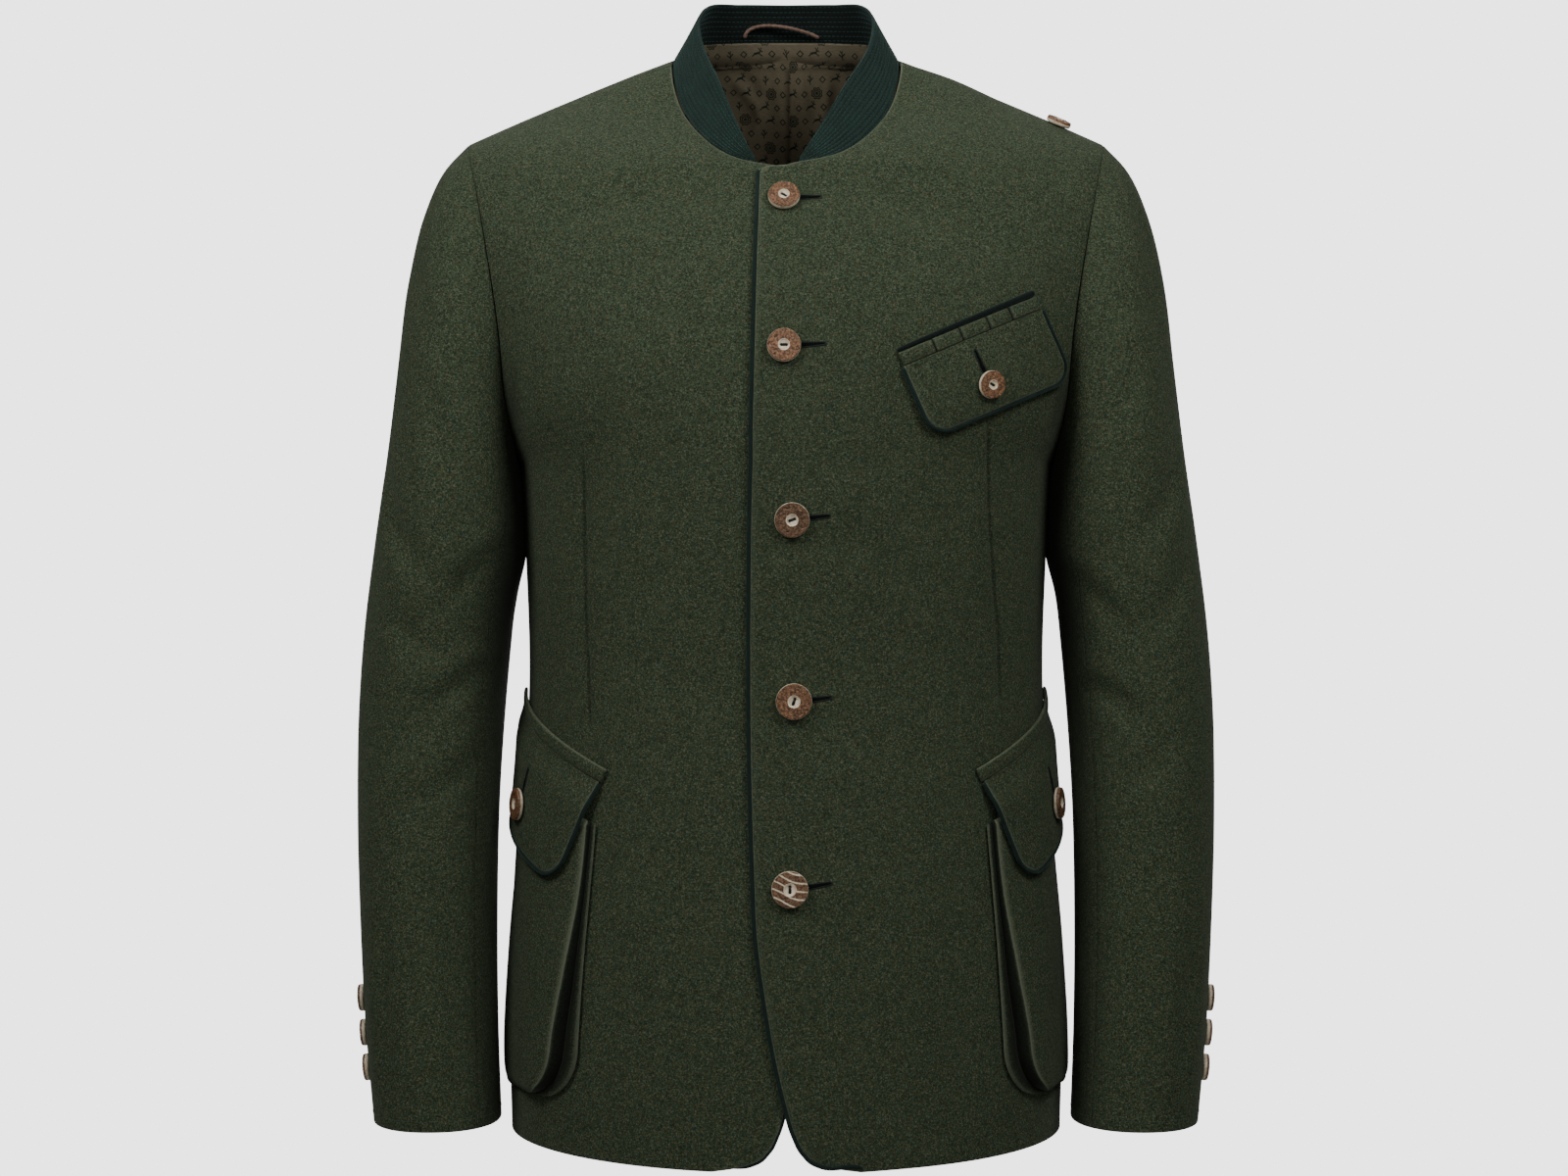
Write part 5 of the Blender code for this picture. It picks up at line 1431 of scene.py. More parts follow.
def build_sleeve(side, part, columns):
    """One piece of a sleeve between its two seams, from the armhole to the cuff.

    The hind seam swings from the back of the armhole to the outside of the cuff.
    """
    along = spaced(SLEEVE_ROWS, SLEEVE_LENGTH / 2, SEAM_ROUND, EDGE_ROUND)[:, None]
    hind = HIND_SEAM_TOP + (HIND_SEAM_CUFF - HIND_SEAM_TOP) * ease(along / HIND_SEAM_REACH)
    start, end = (hind, FRONT_SEAM_ANGLE) if part == "upper" else (FRONT_SEAM_ANGLE, hind + TURN)
    angle = start + (end - start) * spaced(columns, PART_WIDTH, SEAM_ROUND, SEAM_ROUND)
    rows = np.broadcast_to(along, angle.shape)
    points, normals = SLEEVES[side].read(rows, angle)
    half = WALL / 2 * edge_share(points, SEAM_ROUND, top=EDGE_ROUND)
    # The side that faces the body gets painted shade.
    return (wall_parts(points, normals, -WALL / 2, half),
            {"painted_shade": twice(sleeve_shade(rows, angle))})


for side in SIDES:
    for part, (columns, flat) in SLEEVE_PARTS.items():
        parts, values = build_sleeve(side, part, columns)
        add_loden(f"sleeve_{side}_{part}", parts, values, flat, ["back_cloth"])

# %% [markdown]
# ## Sewing thread
#
# Hand and machine stitches are short arcs of thread that dip into the cloth at both ends. Each
# one is a small capsule of twenty faces. A row of stitches is one mesh made from arrays: every
# capsule is the same shape, turned and moved to its place along a path.

# %% Stitch helpers
CAPSULE_X = np.array((-0.5, -0.38, 0.0, 0.38, 0.5))
CAPSULE_R = np.array((0.0, 0.78, 1.0, 0.78, 0.0))
CAPSULE_SIDES = 5
STITCH_PITCH = 0.0031
STITCH_LENGTH = 0.0024
STITCH_RADIUS = 0.00024


def capsules(centres, along, normals, length, radius, dip=0.8):
    """One capsule at each centre: x along, r around, sunk by dip * radius * (2x)^2 at its ends."""
    turn = np.linspace(0, 2 * np.pi, CAPSULE_SIDES + 1)
    along, normals = (unit(vectors)[:, None, None] for vectors in (along, normals))
    x = CAPSULE_X[:, None] + 0 * turn
    r = CAPSULE_R[:, None] * np.ones_like(turn) * radius
    up = (r * np.cos(turn) - dip * radius * (2 * x) ** 2)[..., None]
    points = (centres[:, None, None] + along * x[..., None] * length + normals * up
              + np.cross(along, normals) * (r * np.sin(turn))[..., None])
    start = np.arange(len(centres))[:, None, None] * x.size
    return points.reshape(-1, 3), (start + grid_quads(*x.shape)).reshape(-1, 4)


def along_path(points, normals):
    """Places of the stitches at even steps along a path: centres, directions and normals."""
    at = run_of(points)
    count = max(1, int(at[-1] / STITCH_PITCH))
    middle = (np.arange(count) + 0.5) * at[-1] / count
    return [path_at(middle, at, grid) for grid in (points, np.gradient(points, axis=0), normals)]


def add_stitches(name, paths, material, slot):
    """Rows of stitches along several (points, normals) paths, joined in one piece."""
    places = zip(*(along_path(*path) for path in paths))
    centres, along, normals = (np.concatenate(found) for found in places)
    normals = unit(normals)
    make_piece(name, capsules(lie(centres, normals, STITCH_RADIUS * 0.5), along, normals,
                              STITCH_LENGTH, STITCH_RADIUS), material, slot)


# %% [markdown]
# ## Stand collar
#
# A Tyrolean stand collar is stiffened by sewing its layers together with close rows of stitches
# that run round the neck. The outer face is a ruled surface from the neck seam to the top edge.
# Every row of stitches pulls a groove into both faces, and the cloth puffs up a little between
# the rows.

# %% Collar surface
COLLAR_ROWS_SEWN = 11
GROOVE_DEPTH = 0.00042
GROOVE_WIDTH = 0.13          # as a share of the distance between two rows
PUFF = 0.00016
COLLAR_ROUND = 0.0013
COLLAR_LENGTH = 0.46
COLLAR_COLUMNS = 250
SEWN_REACH = 0.985           # how far toward the front ends the rows are sewn
SEWN_LOW = 0.018             # every second row ends where the collar is lower than this
NEAR_ROW = np.array((-0.30, -0.13, 0.0, 0.13, 0.30))     # of a row, in steps between two rows
COLLAR_FOOT, COLLAR_HEAD = (0.0, 0.003, 0.010, 0.020), (0.980, 0.990, 0.997, 1.0)


def collar_points(share, rise):
    """The collar's outer face: share -1 and 1 are its front ends, 0 the nape; rise 0 to 1."""
    part = 1 - np.abs(share)
    end = np.where(share < 0, COLLAR_END_RIGHT, COLLAR_END_LEFT)
    turned = across_middle(share)
    base = neck_line(end + (180 - end) * part) * turned
    shift = COLLAR_SHIFT * (1 - ease(part / COLLAR_SHIFT_REACH))
    top = stack(*(between(COLLAR_TOP, key, part) for key in "xyz")) * turned + stack(shift, 0, 0)
    start = base + unit(top - base) * GAP
    return start + (top - start) * rise[..., None]


def collar_grid(share, rise):
    """Points and outward normals of the collar or a part of it."""
    points = collar_points(*np.meshgrid(share, rise))
    return points, face_normals(points, points * np.array((1, 1, 0)))


def build_collar():
    """The collar's wall with its sewn grooves, closed by round edges."""
    spacing = 1 / COLLAR_ROWS_SEWN
    rows = (np.arange(COLLAR_ROWS_SEWN) + 0.5) * spacing
    rise = np.concatenate([COLLAR_FOOT, (rows[:, None] + NEAR_ROW * spacing).ravel(),
                           COLLAR_HEAD])
    share = 2 * spaced(COLLAR_COLUMNS, COLLAR_LENGTH, COLLAR_ROUND, COLLAR_ROUND) - 1
    points, normals = collar_grid(share, rise)
    to_row = np.abs(rise[:, None] - rows).min(axis=1) / spacing
    groove = GROOVE_DEPTH * np.exp(-(to_row / GROOVE_WIDTH) ** 2)
    wave = -PUFF * np.cos(2 * np.pi * to_row) - groove
    half = (COLLAR_WALL / 2 + wave[:, None]) * edge_share(points, COLLAR_ROUND)
    sewn = np.linspace(-SEWN_REACH, SEWN_REACH, 300)
    foot, head = (collar_points(sewn, 0 * sewn + rise) for rise in (0, 1))
    tall = np.linalg.norm(head - foot, axis=-1)
    seams = []
    for k, row in enumerate(rows):
        keep = tall > (SEWN_LOW if k % 2 else 0.0)
        face, flat = (grid[1][keep] for grid in collar_grid(sewn, (row - 0.01, row)))
        seams += [(lie(face, flat, -GROOVE_DEPTH), flat),
                  (lie(face, flat, GROOVE_DEPTH - COLLAR_WALL), -flat)]
    # The inner face gets painted shade, for the shadow inside the collar.
    inside = np.repeat((0.0, 1.0), half.size)
    return wall_parts(points, normals, -COLLAR_WALL / 2, half), inside, seams


parts, inside, seams = build_collar()
add_cloth("collar", parts, COLLAR_CLOTH, "green_cloth", (0.460, 0.040),
          ["back_cloth", "front_left_cloth"], held="laid", values={"inside": inside})
add_stitches("collar_stitches", seams, COLLAR_THREAD, "green_cloth")
print(len(seams), "rows of stitches")

# %% [markdown]
# ## Lining at the neck
#
# Satin lining shows inside the neck: a narrow facing under the collar, then the lining of the
# back with a seam down its middle. It is thinner than the loden and hangs a little loose, so it
# has soft wrinkles. Its small print is a repeat of a running stag, a rosette, a diamond and a
# sprig. The UV map is measured on the cloth, so the print keeps its size.

# %% Build the lining
LINING_SHARE = 0.485         # how far round the neck it shows
LINING_RISE = 0.28           # and how far up inside the collar
LINING_LOW = 0.72            # level of its lower edge
LINING_HALF_WIDTH = 0.105
LINING_ROW_X = 0.205
LINING_UNDER = 0.0016
LINING_COLUMNS, LINING_BAND_ROWS, LINING_ROWS = 121, 14, 90
FACING_DOWN = 0.0065         # the seam between facing and lining lies this far below the neck seam
LINING_SMOOTHING = 6
SEAM_TONE = 0.6
SEAM_WIDTHS = (0.0007, 0.0006)       # of the seam round the neck and of that down the middle
SEAM_SINK = 0.0006
LINING_END = (0.12, 0.03)    # the folds fade out here, over this length
LINING_SINK = (0.0014, 0.004, 0.02)  # it leaves the collar by this much, from here, over this
LINING_FOLDS = table(
    "u0     v0      u1      v1      bow     depth   width",
    (-0.022, 0.010, -0.036, 0.075, 0.004, 0.0016, 0.0042),
    (0.012,  0.008, 0.022,  0.060, -0.003, 0.0013, 0.0040),
    (0.034,  0.012, 0.016,  0.070, 0.005, 0.0018, 0.0050),
    (-0.048, 0.014, -0.020, 0.050, 0.003, 0.0014, 0.0045),
    (-0.008, 0.030, -0.004, 0.090, 0.003, 0.0012, 0.0050),
    (0.052,  0.020, 0.040,  0.080, -0.004, 0.0015, 0.0050))


def blurred(grid):
    """The rows of a grid, each one blended with its neighbours."""
    return (grid[:-2] + 2 * grid[1:-1] + grid[2:]) / 4


def steps_on_cloth(points, axis):
    """Running distance between the points of a grid along one of its directions."""
    first = np.take(points, [0], axis=axis)
    step = np.linalg.norm(np.diff(points, axis=axis, prepend=first), axis=-1)
    return np.cumsum(step, axis=axis)


def build_lining():
    """From inside the collar over the neck seam and down behind the back, with its UV map."""
    share = np.linspace(-LINING_SHARE, LINING_SHARE, LINING_COLUMNS)
    band, outwards = collar_grid(share, np.linspace(LINING_RISE, 0.0, LINING_BAND_ROWS))
    drop = np.linspace(0, 1, LINING_ROWS)[1:, None]
    start = NAPE_LEVEL + (1 - NAPE_LEVEL) * 2 * np.abs(share)
    level = start + (LINING_LOW - start) * drop
    x = NECK_RADIUS * np.sin(np.pi * np.abs(share))
    x = x + (LINING_HALF_WIDTH * np.abs(share) / LINING_SHARE - x) * drop
    swing = np.clip((level - NAPE_LEVEL) / (1 - NAPE_LEVEL), 0, 1) * np.pi / 2
    neck_x = NECK_RADIUS * np.sin(swing)
    width = np.copysign(np.clip((x - neck_x) / (LINING_ROW_X - neck_x), 0.01, 1), share)
    points, normals = read_half(1, "left", level, width)
    points = np.concatenate([lie(band, outwards, -(COLLAR_WALL + 3 * GAP)),
                             lie(points, normals, -WALL - LINING_UNDER)])
    normals = np.concatenate([outwards, normals])
    for _ in range(LINING_SMOOTHING):
        points[1:-1], normals[1:-1] = blurred(points), unit(blurred(normals))
    along, down = steps_on_cloth(points, 1), steps_on_cloth(points, 0)
    u = along - along[:, LINING_COLUMNS // 2, None]
    v = down - down[LINING_BAND_ROWS]
    seam = (np.exp(-((v - FACING_DOWN) / SEAM_WIDTHS[0]) ** 2)
            + np.exp(-(u / SEAM_WIDTHS[1]) ** 2) * ease((v - FACING_DOWN) / 0.001))
    height = fold_height(u, v, LINING_FOLDS) - SEAM_SINK * seam
    height = height * ease((LINING_END[0] - v) / LINING_END[1])
    height = height - LINING_SINK[0] * ease((v - LINING_SINK[1]) / LINING_SINK[2])
    half = LINING_WALL / 2 * edge_share(points, SEAM_ROUND)
    parts = wall_parts(points, normals, height - LINING_WALL / 2, half)
    uv = np.stack([u, v], -1).reshape(-1, 2)
    return parts, np.concatenate([uv, uv]), twice(np.clip(seam, 0, 1) * SEAM_TONE)


parts, uv, dark = build_lining()
add_cloth("neck_lining", parts, LINING, "lining", (0.210, 0.150),
          ["back_cloth", "collar_cloth"], uv=uv, values={"seam": dark})

# %% [markdown]
# ## Cords and piping
#
# Piping is a strip of cloth folded round a thin cord and sewn into the edge, so what shows is a
# soft round bead. Each bead is a tube along the edge. The hanger loop is a twisted cord, so its
# section has two lobes that turn as it runs.

# %% Tubes
LOOP_LOBES, LOOP_TURNS = 0.14, 260.0     # of the cord, as a share and per metre
TUBE_END = np.array((0.0, 0.08, 0.3, 0.65, 1.0))


def tube(route, normals, radius, sides=10, lobes=0.0, turns=0.0, growth=0.0):
    """radius * (1 + lobes cos(2a - twist)) round a route, shrunk to a point at both ends.

    With growth the radius rises evenly along the route, by that share at its end.
    """
    at = run_of(route)
    ends = radius * TUBE_END
    place = np.concatenate([ends, np.linspace(radius, at[-1] - radius, len(route))[1:-1],
                            at[-1] - ends[::-1]])
    route, normals = (path_at(place, at, grid) for grid in (route, normals))
    way = unit(np.gradient(route, place, axis=0))
    side = unit(np.cross(way, normals))
    up = np.cross(side, way)
    angle = np.linspace(0, 2 * np.pi, sides + 1)
    round_end = quarter(np.minimum(place, at[-1] - place), radius)[:, None]
    twist = 2 * np.pi * turns * place[:, None]
    size = radius * round_end * (1 + lobes * np.cos(2 * angle - twist))
    size = size * (1 + growth * place[:, None] / at[-1])
    points = (route[:, None] + up[:, None] * (size * np.cos(angle))[..., None]
              + side[:, None] * (size * np.sin(angle))[..., None])
    flip = outward(points[:, :-1], points[:, :-1] - route[:, None])
    return points.reshape(-1, 3), grid_quads(len(place), sides + 1, 0, not flip)


def add_piping(name, route, normals, radius, growth=0.0, inside=0.0):
    """A bead of piping that stands for the CAD node of the same name. Inside adds painted shade.
    """
    parts = tube(route, normals, radius, growth=growth)
    make_piece(f"{name}_bead", parts, PIPING_CLOTH, "green_cloth", name,
               values={"inside": np.full(len(parts[0]), inside)})


# %% Hanger loop
LOOP_MIDDLE_X = -0.0030
LOOP_HALF_WIDTH = 0.0255
LOOP_Y = 0.0500
LOOP_Z = 0.0250
LOOP_HEIGHT = 0.0085
LOOP_BOW = 0.0020            # how far its middle leans forward
turn = np.linspace(0, np.pi, 90)
lean = np.pi * ((1 - np.cos(turn)) / 2) ** 0.60      # its crown lies to one side
route = stack(LOOP_MIDDLE_X - LOOP_HALF_WIDTH * np.cos(turn), LOOP_Y - LOOP_BOW * np.sin(turn),
              LOOP_Z + LOOP_HEIGHT * np.abs(np.sin(lean)) ** 0.7)
make_piece("hanger_loop_cord", tube(route, np.tile((0.0, -1.0, 0.0), (len(turn), 1)), LOOP_RADIUS,
                                    12, LOOP_LOBES, LOOP_TURNS), CORD, "cord", "hanger_loop")
print("hanger loop length", round(float(run_of(route)[-1]), 4))

# %% Armhole seams: turned-in edges in the groove between body and sleeve, in painted shade
SEAM_RADIUS = 0.0012
SEAM_DEPTH = 0.0021
CUFF_STITCH_UP = 0.0072      # height of the stitches above the cuff's edge

angle = np.linspace(0, 360, 181)
body_level = UNDERARM_LEVEL + np.abs(1 - angle / 180) * (1 - UNDERARM_LEVEL)
cuff = 1 - CUFF_STITCH_UP / (SLEEVE_LENGTH / 2)
for side in SIDES:
    place, flat = either(angle > 180, *(TORSO[face, side].read(body_level, np.ones(181))
                                        for face in (-1, 1)))
    inward = unit(flat + SLEEVES[side].read(np.zeros(181), angle)[1])
    make_piece(f"armhole_seam_{side}", tube(lie(place, inward, -SEAM_DEPTH), inward, SEAM_RADIUS),
               RECESS_PAINTED_SHADE, "loden")
    add_stitches(f"cuff_stitches_{side}", [SLEEVES[side].read(np.full(181, cuff), angle)],
                 LODEN_THREAD, "loden")
print("armhole seams and cuff stitches done")

# %% Piping of the two front edges
PIPING_TOP_Z = -0.0800
PIPING_LOW_Z = -0.7000       # closer points from the hem up to here
PIPING_DROP = 0.0005
PIPING_IN = 0.0004           # how far the bead sits in the edge
PIPING_RUN_OUT = (0.004, 0.022)      # at the hem it runs into the cloth over this stretch
EDGE_STITCH_IN = 0.0024      # how far inside the edge the cloth is topstitched
EDGE_STITCH_FROM = 12        # and the point of the edge at which the stitches start

z = np.concatenate([np.linspace(HEM_Z, PIPING_LOW_Z, 50),
                    np.linspace(PIPING_LOW_Z, PIPING_TOP_Z, 220)[1:]])
edge = between(FRONT_EDGE, "x", z)
run_out = ease((run_of(np.stack([edge, z], -1)) - PIPING_RUN_OUT[0]) / PIPING_RUN_OUT[1])
level = front_level(z)
for side, radius, height in (
        ("left", PIPING_RADIUS, WALL + (2 * GAP - PIPING_DROP)),
        ("right", UNDER_PIPING_RADIUS, -2 * GAP - WALL / 2)):
    points, normals = read_half(-1, side, level, edge / row_width(-1, level))
    out = unit(np.cross(normals, unit(np.gradient(points, axis=0))))
    out = out * -np.sign(out[100, 0]) * (1 if side == "left" else -1)
    aside = radius - PIPING_IN - (1 - run_out) * 3 * radius
    add_piping(f"edge_piping_{side}", lie(lie(points, out, aside), normals, height), normals,
               radius)
    if side == "left":       # only the front on top is topstitched
        points, normals = (grid[EDGE_STITCH_FROM:] for grid in read_half(
            -1, side, level, (edge + EDGE_STITCH_IN) / row_width(-1, level)))
        add_stitches("edge_stitches", [(lie(points, normals, WALL + 2 * GAP), normals)],
                     LODEN_THREAD, "loden")
print("edge piping done")

# %% [markdown]
# ## Side pockets
#
# A bellows pocket is a bag whose sides are folded like an accordion so that it can open. Its edge
# is sewn flat to the jacket, the gusset goes in behind it and the front stands proud. A piped
# flap hangs over it, under a welt of doubled cloth. The pockets lie across the side seam, so each
# point is found by its distance from that seam along the cloth and by its height.

# %% Places on a side pocket
BAG_FOOT_SHARES = np.array((0.0, 0.12, 0.30, 0.52, 0.72, 0.86, 0.95))
BAG_WALL = np.array((0.0, 0.18, 0.42, 0.68, 0.88, 1.0)) * 0.0026
BAG_RIM_HEIGHT = np.array((1.0, 1.0, 1.02, 1.0, 0.94, 0.80, 0.55))
BAG_FACE_FALL = ((0.0, 0.10, 0.30, 0.60, 0.85, 1.0), (1.0, 0.96, 0.74, 0.50, 0.42, 0.46))
BAG_CORNER_ROWS, BAG_ROWS, BAG_COLUMNS = 16, 46, 40
BAG_LOW_ROWS, BAG_BLUR = 7, 7    # rows over which it rises from its foot; columns of a blur
BAG_PAINTED_SHADE = np.array((0.2, 0.6, 0.9, 1.0, 1.0, 1.0, 1.0, 1.0, 1.0, 0.9, 0.6, 0.15))
BAG_STITCHES = 0.10          # where on the gusset the bag is sewn down


def turned_place(middle, slant, w, d):
    """Positions across and down a pocket, turned by its slant, from the middle of its top."""
    return (middle[0] + w * np.cos(slant) + d * np.sin(slant),
            middle[1] + w * np.sin(slant) - d * np.cos(slant))


def side_place(side, w, d, height):
    """A point and normal of a side pocket from its own frame, with the height off the body."""
    arc, z = turned_place((SIDE_ARC[side], SIDE_TOP_Z), SIDE_SLANT, w, d)
    points, normals = around_side(side, z, arc)
    return lie(points, normals, height), normals


def side_flap_height(d):
    """How far a side flap's inner face stands off: flat at the top, then over the bag."""
    over_bag = SIDE_FLAP_STAND * ease(d / SIDE_FLAP_STAND_BY)
    swell = SIDE_FLAP_SWELL * ease((d - SIDE_FLAP_SWELL_FROM) / SIDE_FLAP_SWELL_OVER)
    return TRIM_UNDER + over_bag + swell


# %% Flaps, with round lower corners


def flap_grid(flap, rows, columns):
    """Across and down positions of a flap: straight sides, then quarter circles at the corners."""
    turn = np.linspace(0, np.pi / 2, 12)
    corner = flap["height"] - flap["corner"] + flap["corner"] * np.sin(turn)
    d = np.concatenate([NEAR_EDGE * SEAM_ROUND, np.linspace(0.0015, corner[0], rows)[:-1], corner])
    into = np.clip(d - corner[0], 0, flap["corner"])
    half = flap["width"] / 2 - flap["corner"] + np.sqrt(flap["corner"] ** 2 - into ** 2)
    w = half[:, None] * (2 * spaced(columns, flap["width"], EDGE_ROUND, EDGE_ROUND) - 1)
    return w, np.broadcast_to(d[:, None], w.shape)


def flap_edge(flap, offset):
    """Route round a flap's sides and bottom, outside its edge by an offset."""
    half, low, radius = flap["width"] / 2, flap["height"], flap["corner"]
    turn = np.linspace(0, np.pi / 2, 14)
    side_d = np.linspace(0.001, low - radius, 26)[:-1]
    corner_w = half - radius + (radius + offset) * np.cos(turn)
    corner_d = low - radius + (radius + offset) * np.sin(turn)
    bottom_w = np.linspace(half - radius, radius - half, 50)[1:-1]
    w = np.concatenate([0 * side_d + half + offset, corner_w, bottom_w,
                        -corner_w[::-1], 0 * side_d - half - offset])
    d = np.concatenate([side_d, corner_d, 0 * bottom_w + low + offset,
                        corner_d[::-1], side_d[::-1]])
    return w, d


def add_flap(name, place, flap, stand, rows, columns, rests_on):
    """A flap with a painted highlight along its edges, and a bead of piping round it."""
    w, d = flap_grid(flap, rows, columns)
    points, normals = place(w, d, stand(d) + WALL)
    half = WALL / 2 * edge_share(points, bottom=SEAM_ROUND)
    add_loden(name, wall_parts(points, normals, -WALL / 2, half),
              {"rim": edge_glow(points, "top", "start", "end")},
              (flap["width"], flap["height"]), rests_on)
    w, d = flap_edge(flap, PIPING_RADIUS - PIPING_IN)
    add_piping(name.replace("_flap", "_flap_piping"), *place(w, d, stand(d) + PIPING_RADIUS),
               PIPING_RADIUS)


# %% Bands, with sewn lines across them
DENT_WIDTH, DENT_DEPTH = 0.0006, 0.0009
PUFF_ASIDE, PUFF_WIDTH, PUFF_HEIGHT = 0.0016, 0.0011, 0.0005
BAND_SWELL = 0.0006


def build_band(place, width, top, dents=()):
    """A strip with a rounded face along a pocket's top. Dents are sewn lines across it."""
    tall = -GAP - top
    near = EDGE_ROUND * NEAR_EDGE
    w = np.unique(np.concatenate(
        [np.linspace(-width / 2, width / 2, 121), near - width / 2, width / 2 - near]
        + [at + np.linspace(-0.0012, 0.0012, 7) for at in dents]))
    d = top + np.concatenate([near, np.linspace(near[-1], tall - near[-1], 12)[1:-1],
                              tall - near[::-1]])
    w, d = np.meshgrid(w, d)
    dent, puff = (sum((np.exp(-((w - at - aside) / wide) ** 2) for at in dents), np.zeros(w.shape))
                  for aside, wide in ((0.0, DENT_WIDTH), (PUFF_ASIDE, PUFF_WIDTH)))
    points, normals = place(w, d, TRIM_UNDER + WALL)
    extra = BAND_SWELL * np.sin(np.pi * (d - top) / tall) - DENT_DEPTH * dent + PUFF_HEIGHT * puff
    half = (WALL + extra) / 2 * edge_share(points)
    parts = wall_parts(points, normals, (extra - WALL) / 2, half)
    # The sewn dents get painted shade, and the puffs beside them and the long edges a painted
    # highlight.
    rim = np.maximum(0.5 * edge_glow(points, "top", "bottom"), twice(0.3 * np.clip(puff, 0, 1)))
    return parts, {"rim": rim, "painted_shade": twice(dent)}


# %% The bellows bag


def build_bag(side):
    """A closed form: a sewn rim, a gusset that goes in, and a raised face, lower behind.

    Columns run from the front edge over the rim, up the front wall, over the face and down again.
    """
    middle = SIDE_ARC[side]
    top_z = SIDE_TOP_Z - BAG_TOP_DOWN / np.cos(SIDE_SLANT)
    turn = np.pad(np.linspace(np.pi / 2, 0, BAG_CORNER_ROWS), (0, BAG_ROWS))[:, None]
    rise = np.pad(np.linspace(0, 1, BAG_ROWS + 1)[1:], (BAG_CORNER_ROWS, 0))[:, None]
    inset = BAG_CORNER * (1 - np.cos(turn))
    flat_z = BAG_BOTTOM_Z + BAG_CORNER * (1 - np.sin(turn))
    row_z = flat_z + rise * (top_z - flat_z)
    lift, foot = (between(BAG_LIFT, name, row_z) for name in ("lift", "gusset"))
    start, end = middle + BAG_REACH[0] + inset, middle + BAG_REACH[1] - inset
    front = np.hstack([start + foot * BAG_FOOT_SHARES, start + foot + BAG_WALL])
    behind = np.hstack([end - foot - BAG_WALL[::-1], end - foot * BAG_FOOT_SHARES[::-1]])
    across = np.linspace(0, 1, BAG_COLUMNS)
    face = front[:, -1:] + (behind[:, :1] - front[:, -1:]) * across[1:-1]
    arc = np.hstack([front, face, behind])
    slanted = top_z + (arc - middle) * np.tan(SIDE_SLANT)
    z = flat_z + rise * (slanted - flat_z)

    flat = WALL + BAG_UNDER
    near_ends = ease(np.arange(len(turn))[:, None] / BAG_LOW_ROWS)
    rim = np.broadcast_to(BAG_RIM_HEIGHT * flat, (len(turn), len(BAG_RIM_HEIGHT)))
    climb = ease(BAG_WALL / BAG_WALL[-1])
    level = np.pad(np.interp(across, *BAG_FACE_FALL), BAG_BLUR // 2, mode="edge")
    level = np.convolve(level, np.ones(BAG_BLUR) / BAG_BLUR, mode="valid")
    top = flat + (lift - WALL) * near_ends
    up, down = (rim[:, -1:] + (level[k] * top - rim[:, -1:]) * climb for k in (0, -1))
    height = np.hstack([rim, up, level[1:-1] * top, down[:, ::-1], rim[:, ::-1]])
    points, normals = around_side(side, z, arc)
    half = (height - BAG_UNDER) / 2 * edge_share(lie(points, normals, height))
    parts = wall_parts(points, normals, (height + BAG_UNDER) / 2, half)

    # Painted highlights on the fold at the front of the face and on the sewn edge, and painted
    # shade in the gusset's recess on both sides.
    painted_highlights, painted_shade = np.zeros((2, *arc.shape))
    painted_highlights[:, 11:14] = (0.35, 1.0, 0.35)       # the fold at the front of the face
    painted_highlights[:, :2] = (0.8, 0.5)
    painted_shade[:, 1:13] = BAG_PAINTED_SHADE
    painted_shade[:, -13:-1] = BAG_PAINTED_SHADE[::-1]
    sewn, out = (grid[3:-1, 0] for grid in
                 around_side(side, z[:, 13:14], start + BAG_STITCHES * foot))
    values = {"rim": twice(painted_highlights * near_ends), "painted_shade": twice(painted_shade * near_ends)}
    return parts, values, (lie(sewn, out, flat), out)


# %% Build both side pockets
for side in SIDES:
    place = partial(side_place, side)
    parts, values, path = build_bag(side)
    add_loden(f"side_bag_{side}", parts, values, (0.170, 0.200),
              [f"front_{side}_cloth", "back_cloth"], "folded")
    add_stitches(f"side_bag_stitches_{side}", [path], LODEN_THREAD, "loden")
    add_flap(f"side_flap_{side}", place, SIDE_FLAP, side_flap_height, 34, 56,
             [f"side_bag_{side}_cloth"])
    add_loden(f"side_welt_{side}",
              *build_band(place, SIDE_FLAP["width"] + WELT_OVERHANG, -GAP - WELT_HEIGHT),
              (0.131, 0.010), [f"front_{side}_cloth"], "folded")

# %% [markdown]
# ## Chest pocket
#
# The chest pocket slants up toward the arm. A dark green piping closes its top, then comes a
# narrow band with four lines sewn across it, and the flap hangs below with its own piping. The
# pocket's mouth stands open toward the arm, so the piping along it grows wider there, and painted
# shade darkens it further for the shadow in the open mouth.

# %% Build the chest pocket
CHEST_DENTS = (-0.0260, -0.0070, 0.0123, 0.0285)
CHEST_OPENING = 0.55         # how much wider the opening stands at its outer end
# How much painted shade darkens the piping, for the shadow in the open mouth:
CHEST_OPENING_PAINTED_SHADE = 0.9   # how dark it is


def chest_place(w, d, height):
    """A point and normal of the chest pocket from its own frame, seen from the front."""
    points, normals = seen_from_front(*turned_place(CHEST_TOP_MIDDLE, CHEST_SLANT, w, d))
    return lie(points, normals, height), normals


def chest_flap_height(d):
    """The chest flap lies almost flat and lifts a little toward its lower edge."""
    return TRIM_UNDER + CHEST_FLAP_STAND * ease(d / CHEST_FLAP_STAND_BY)


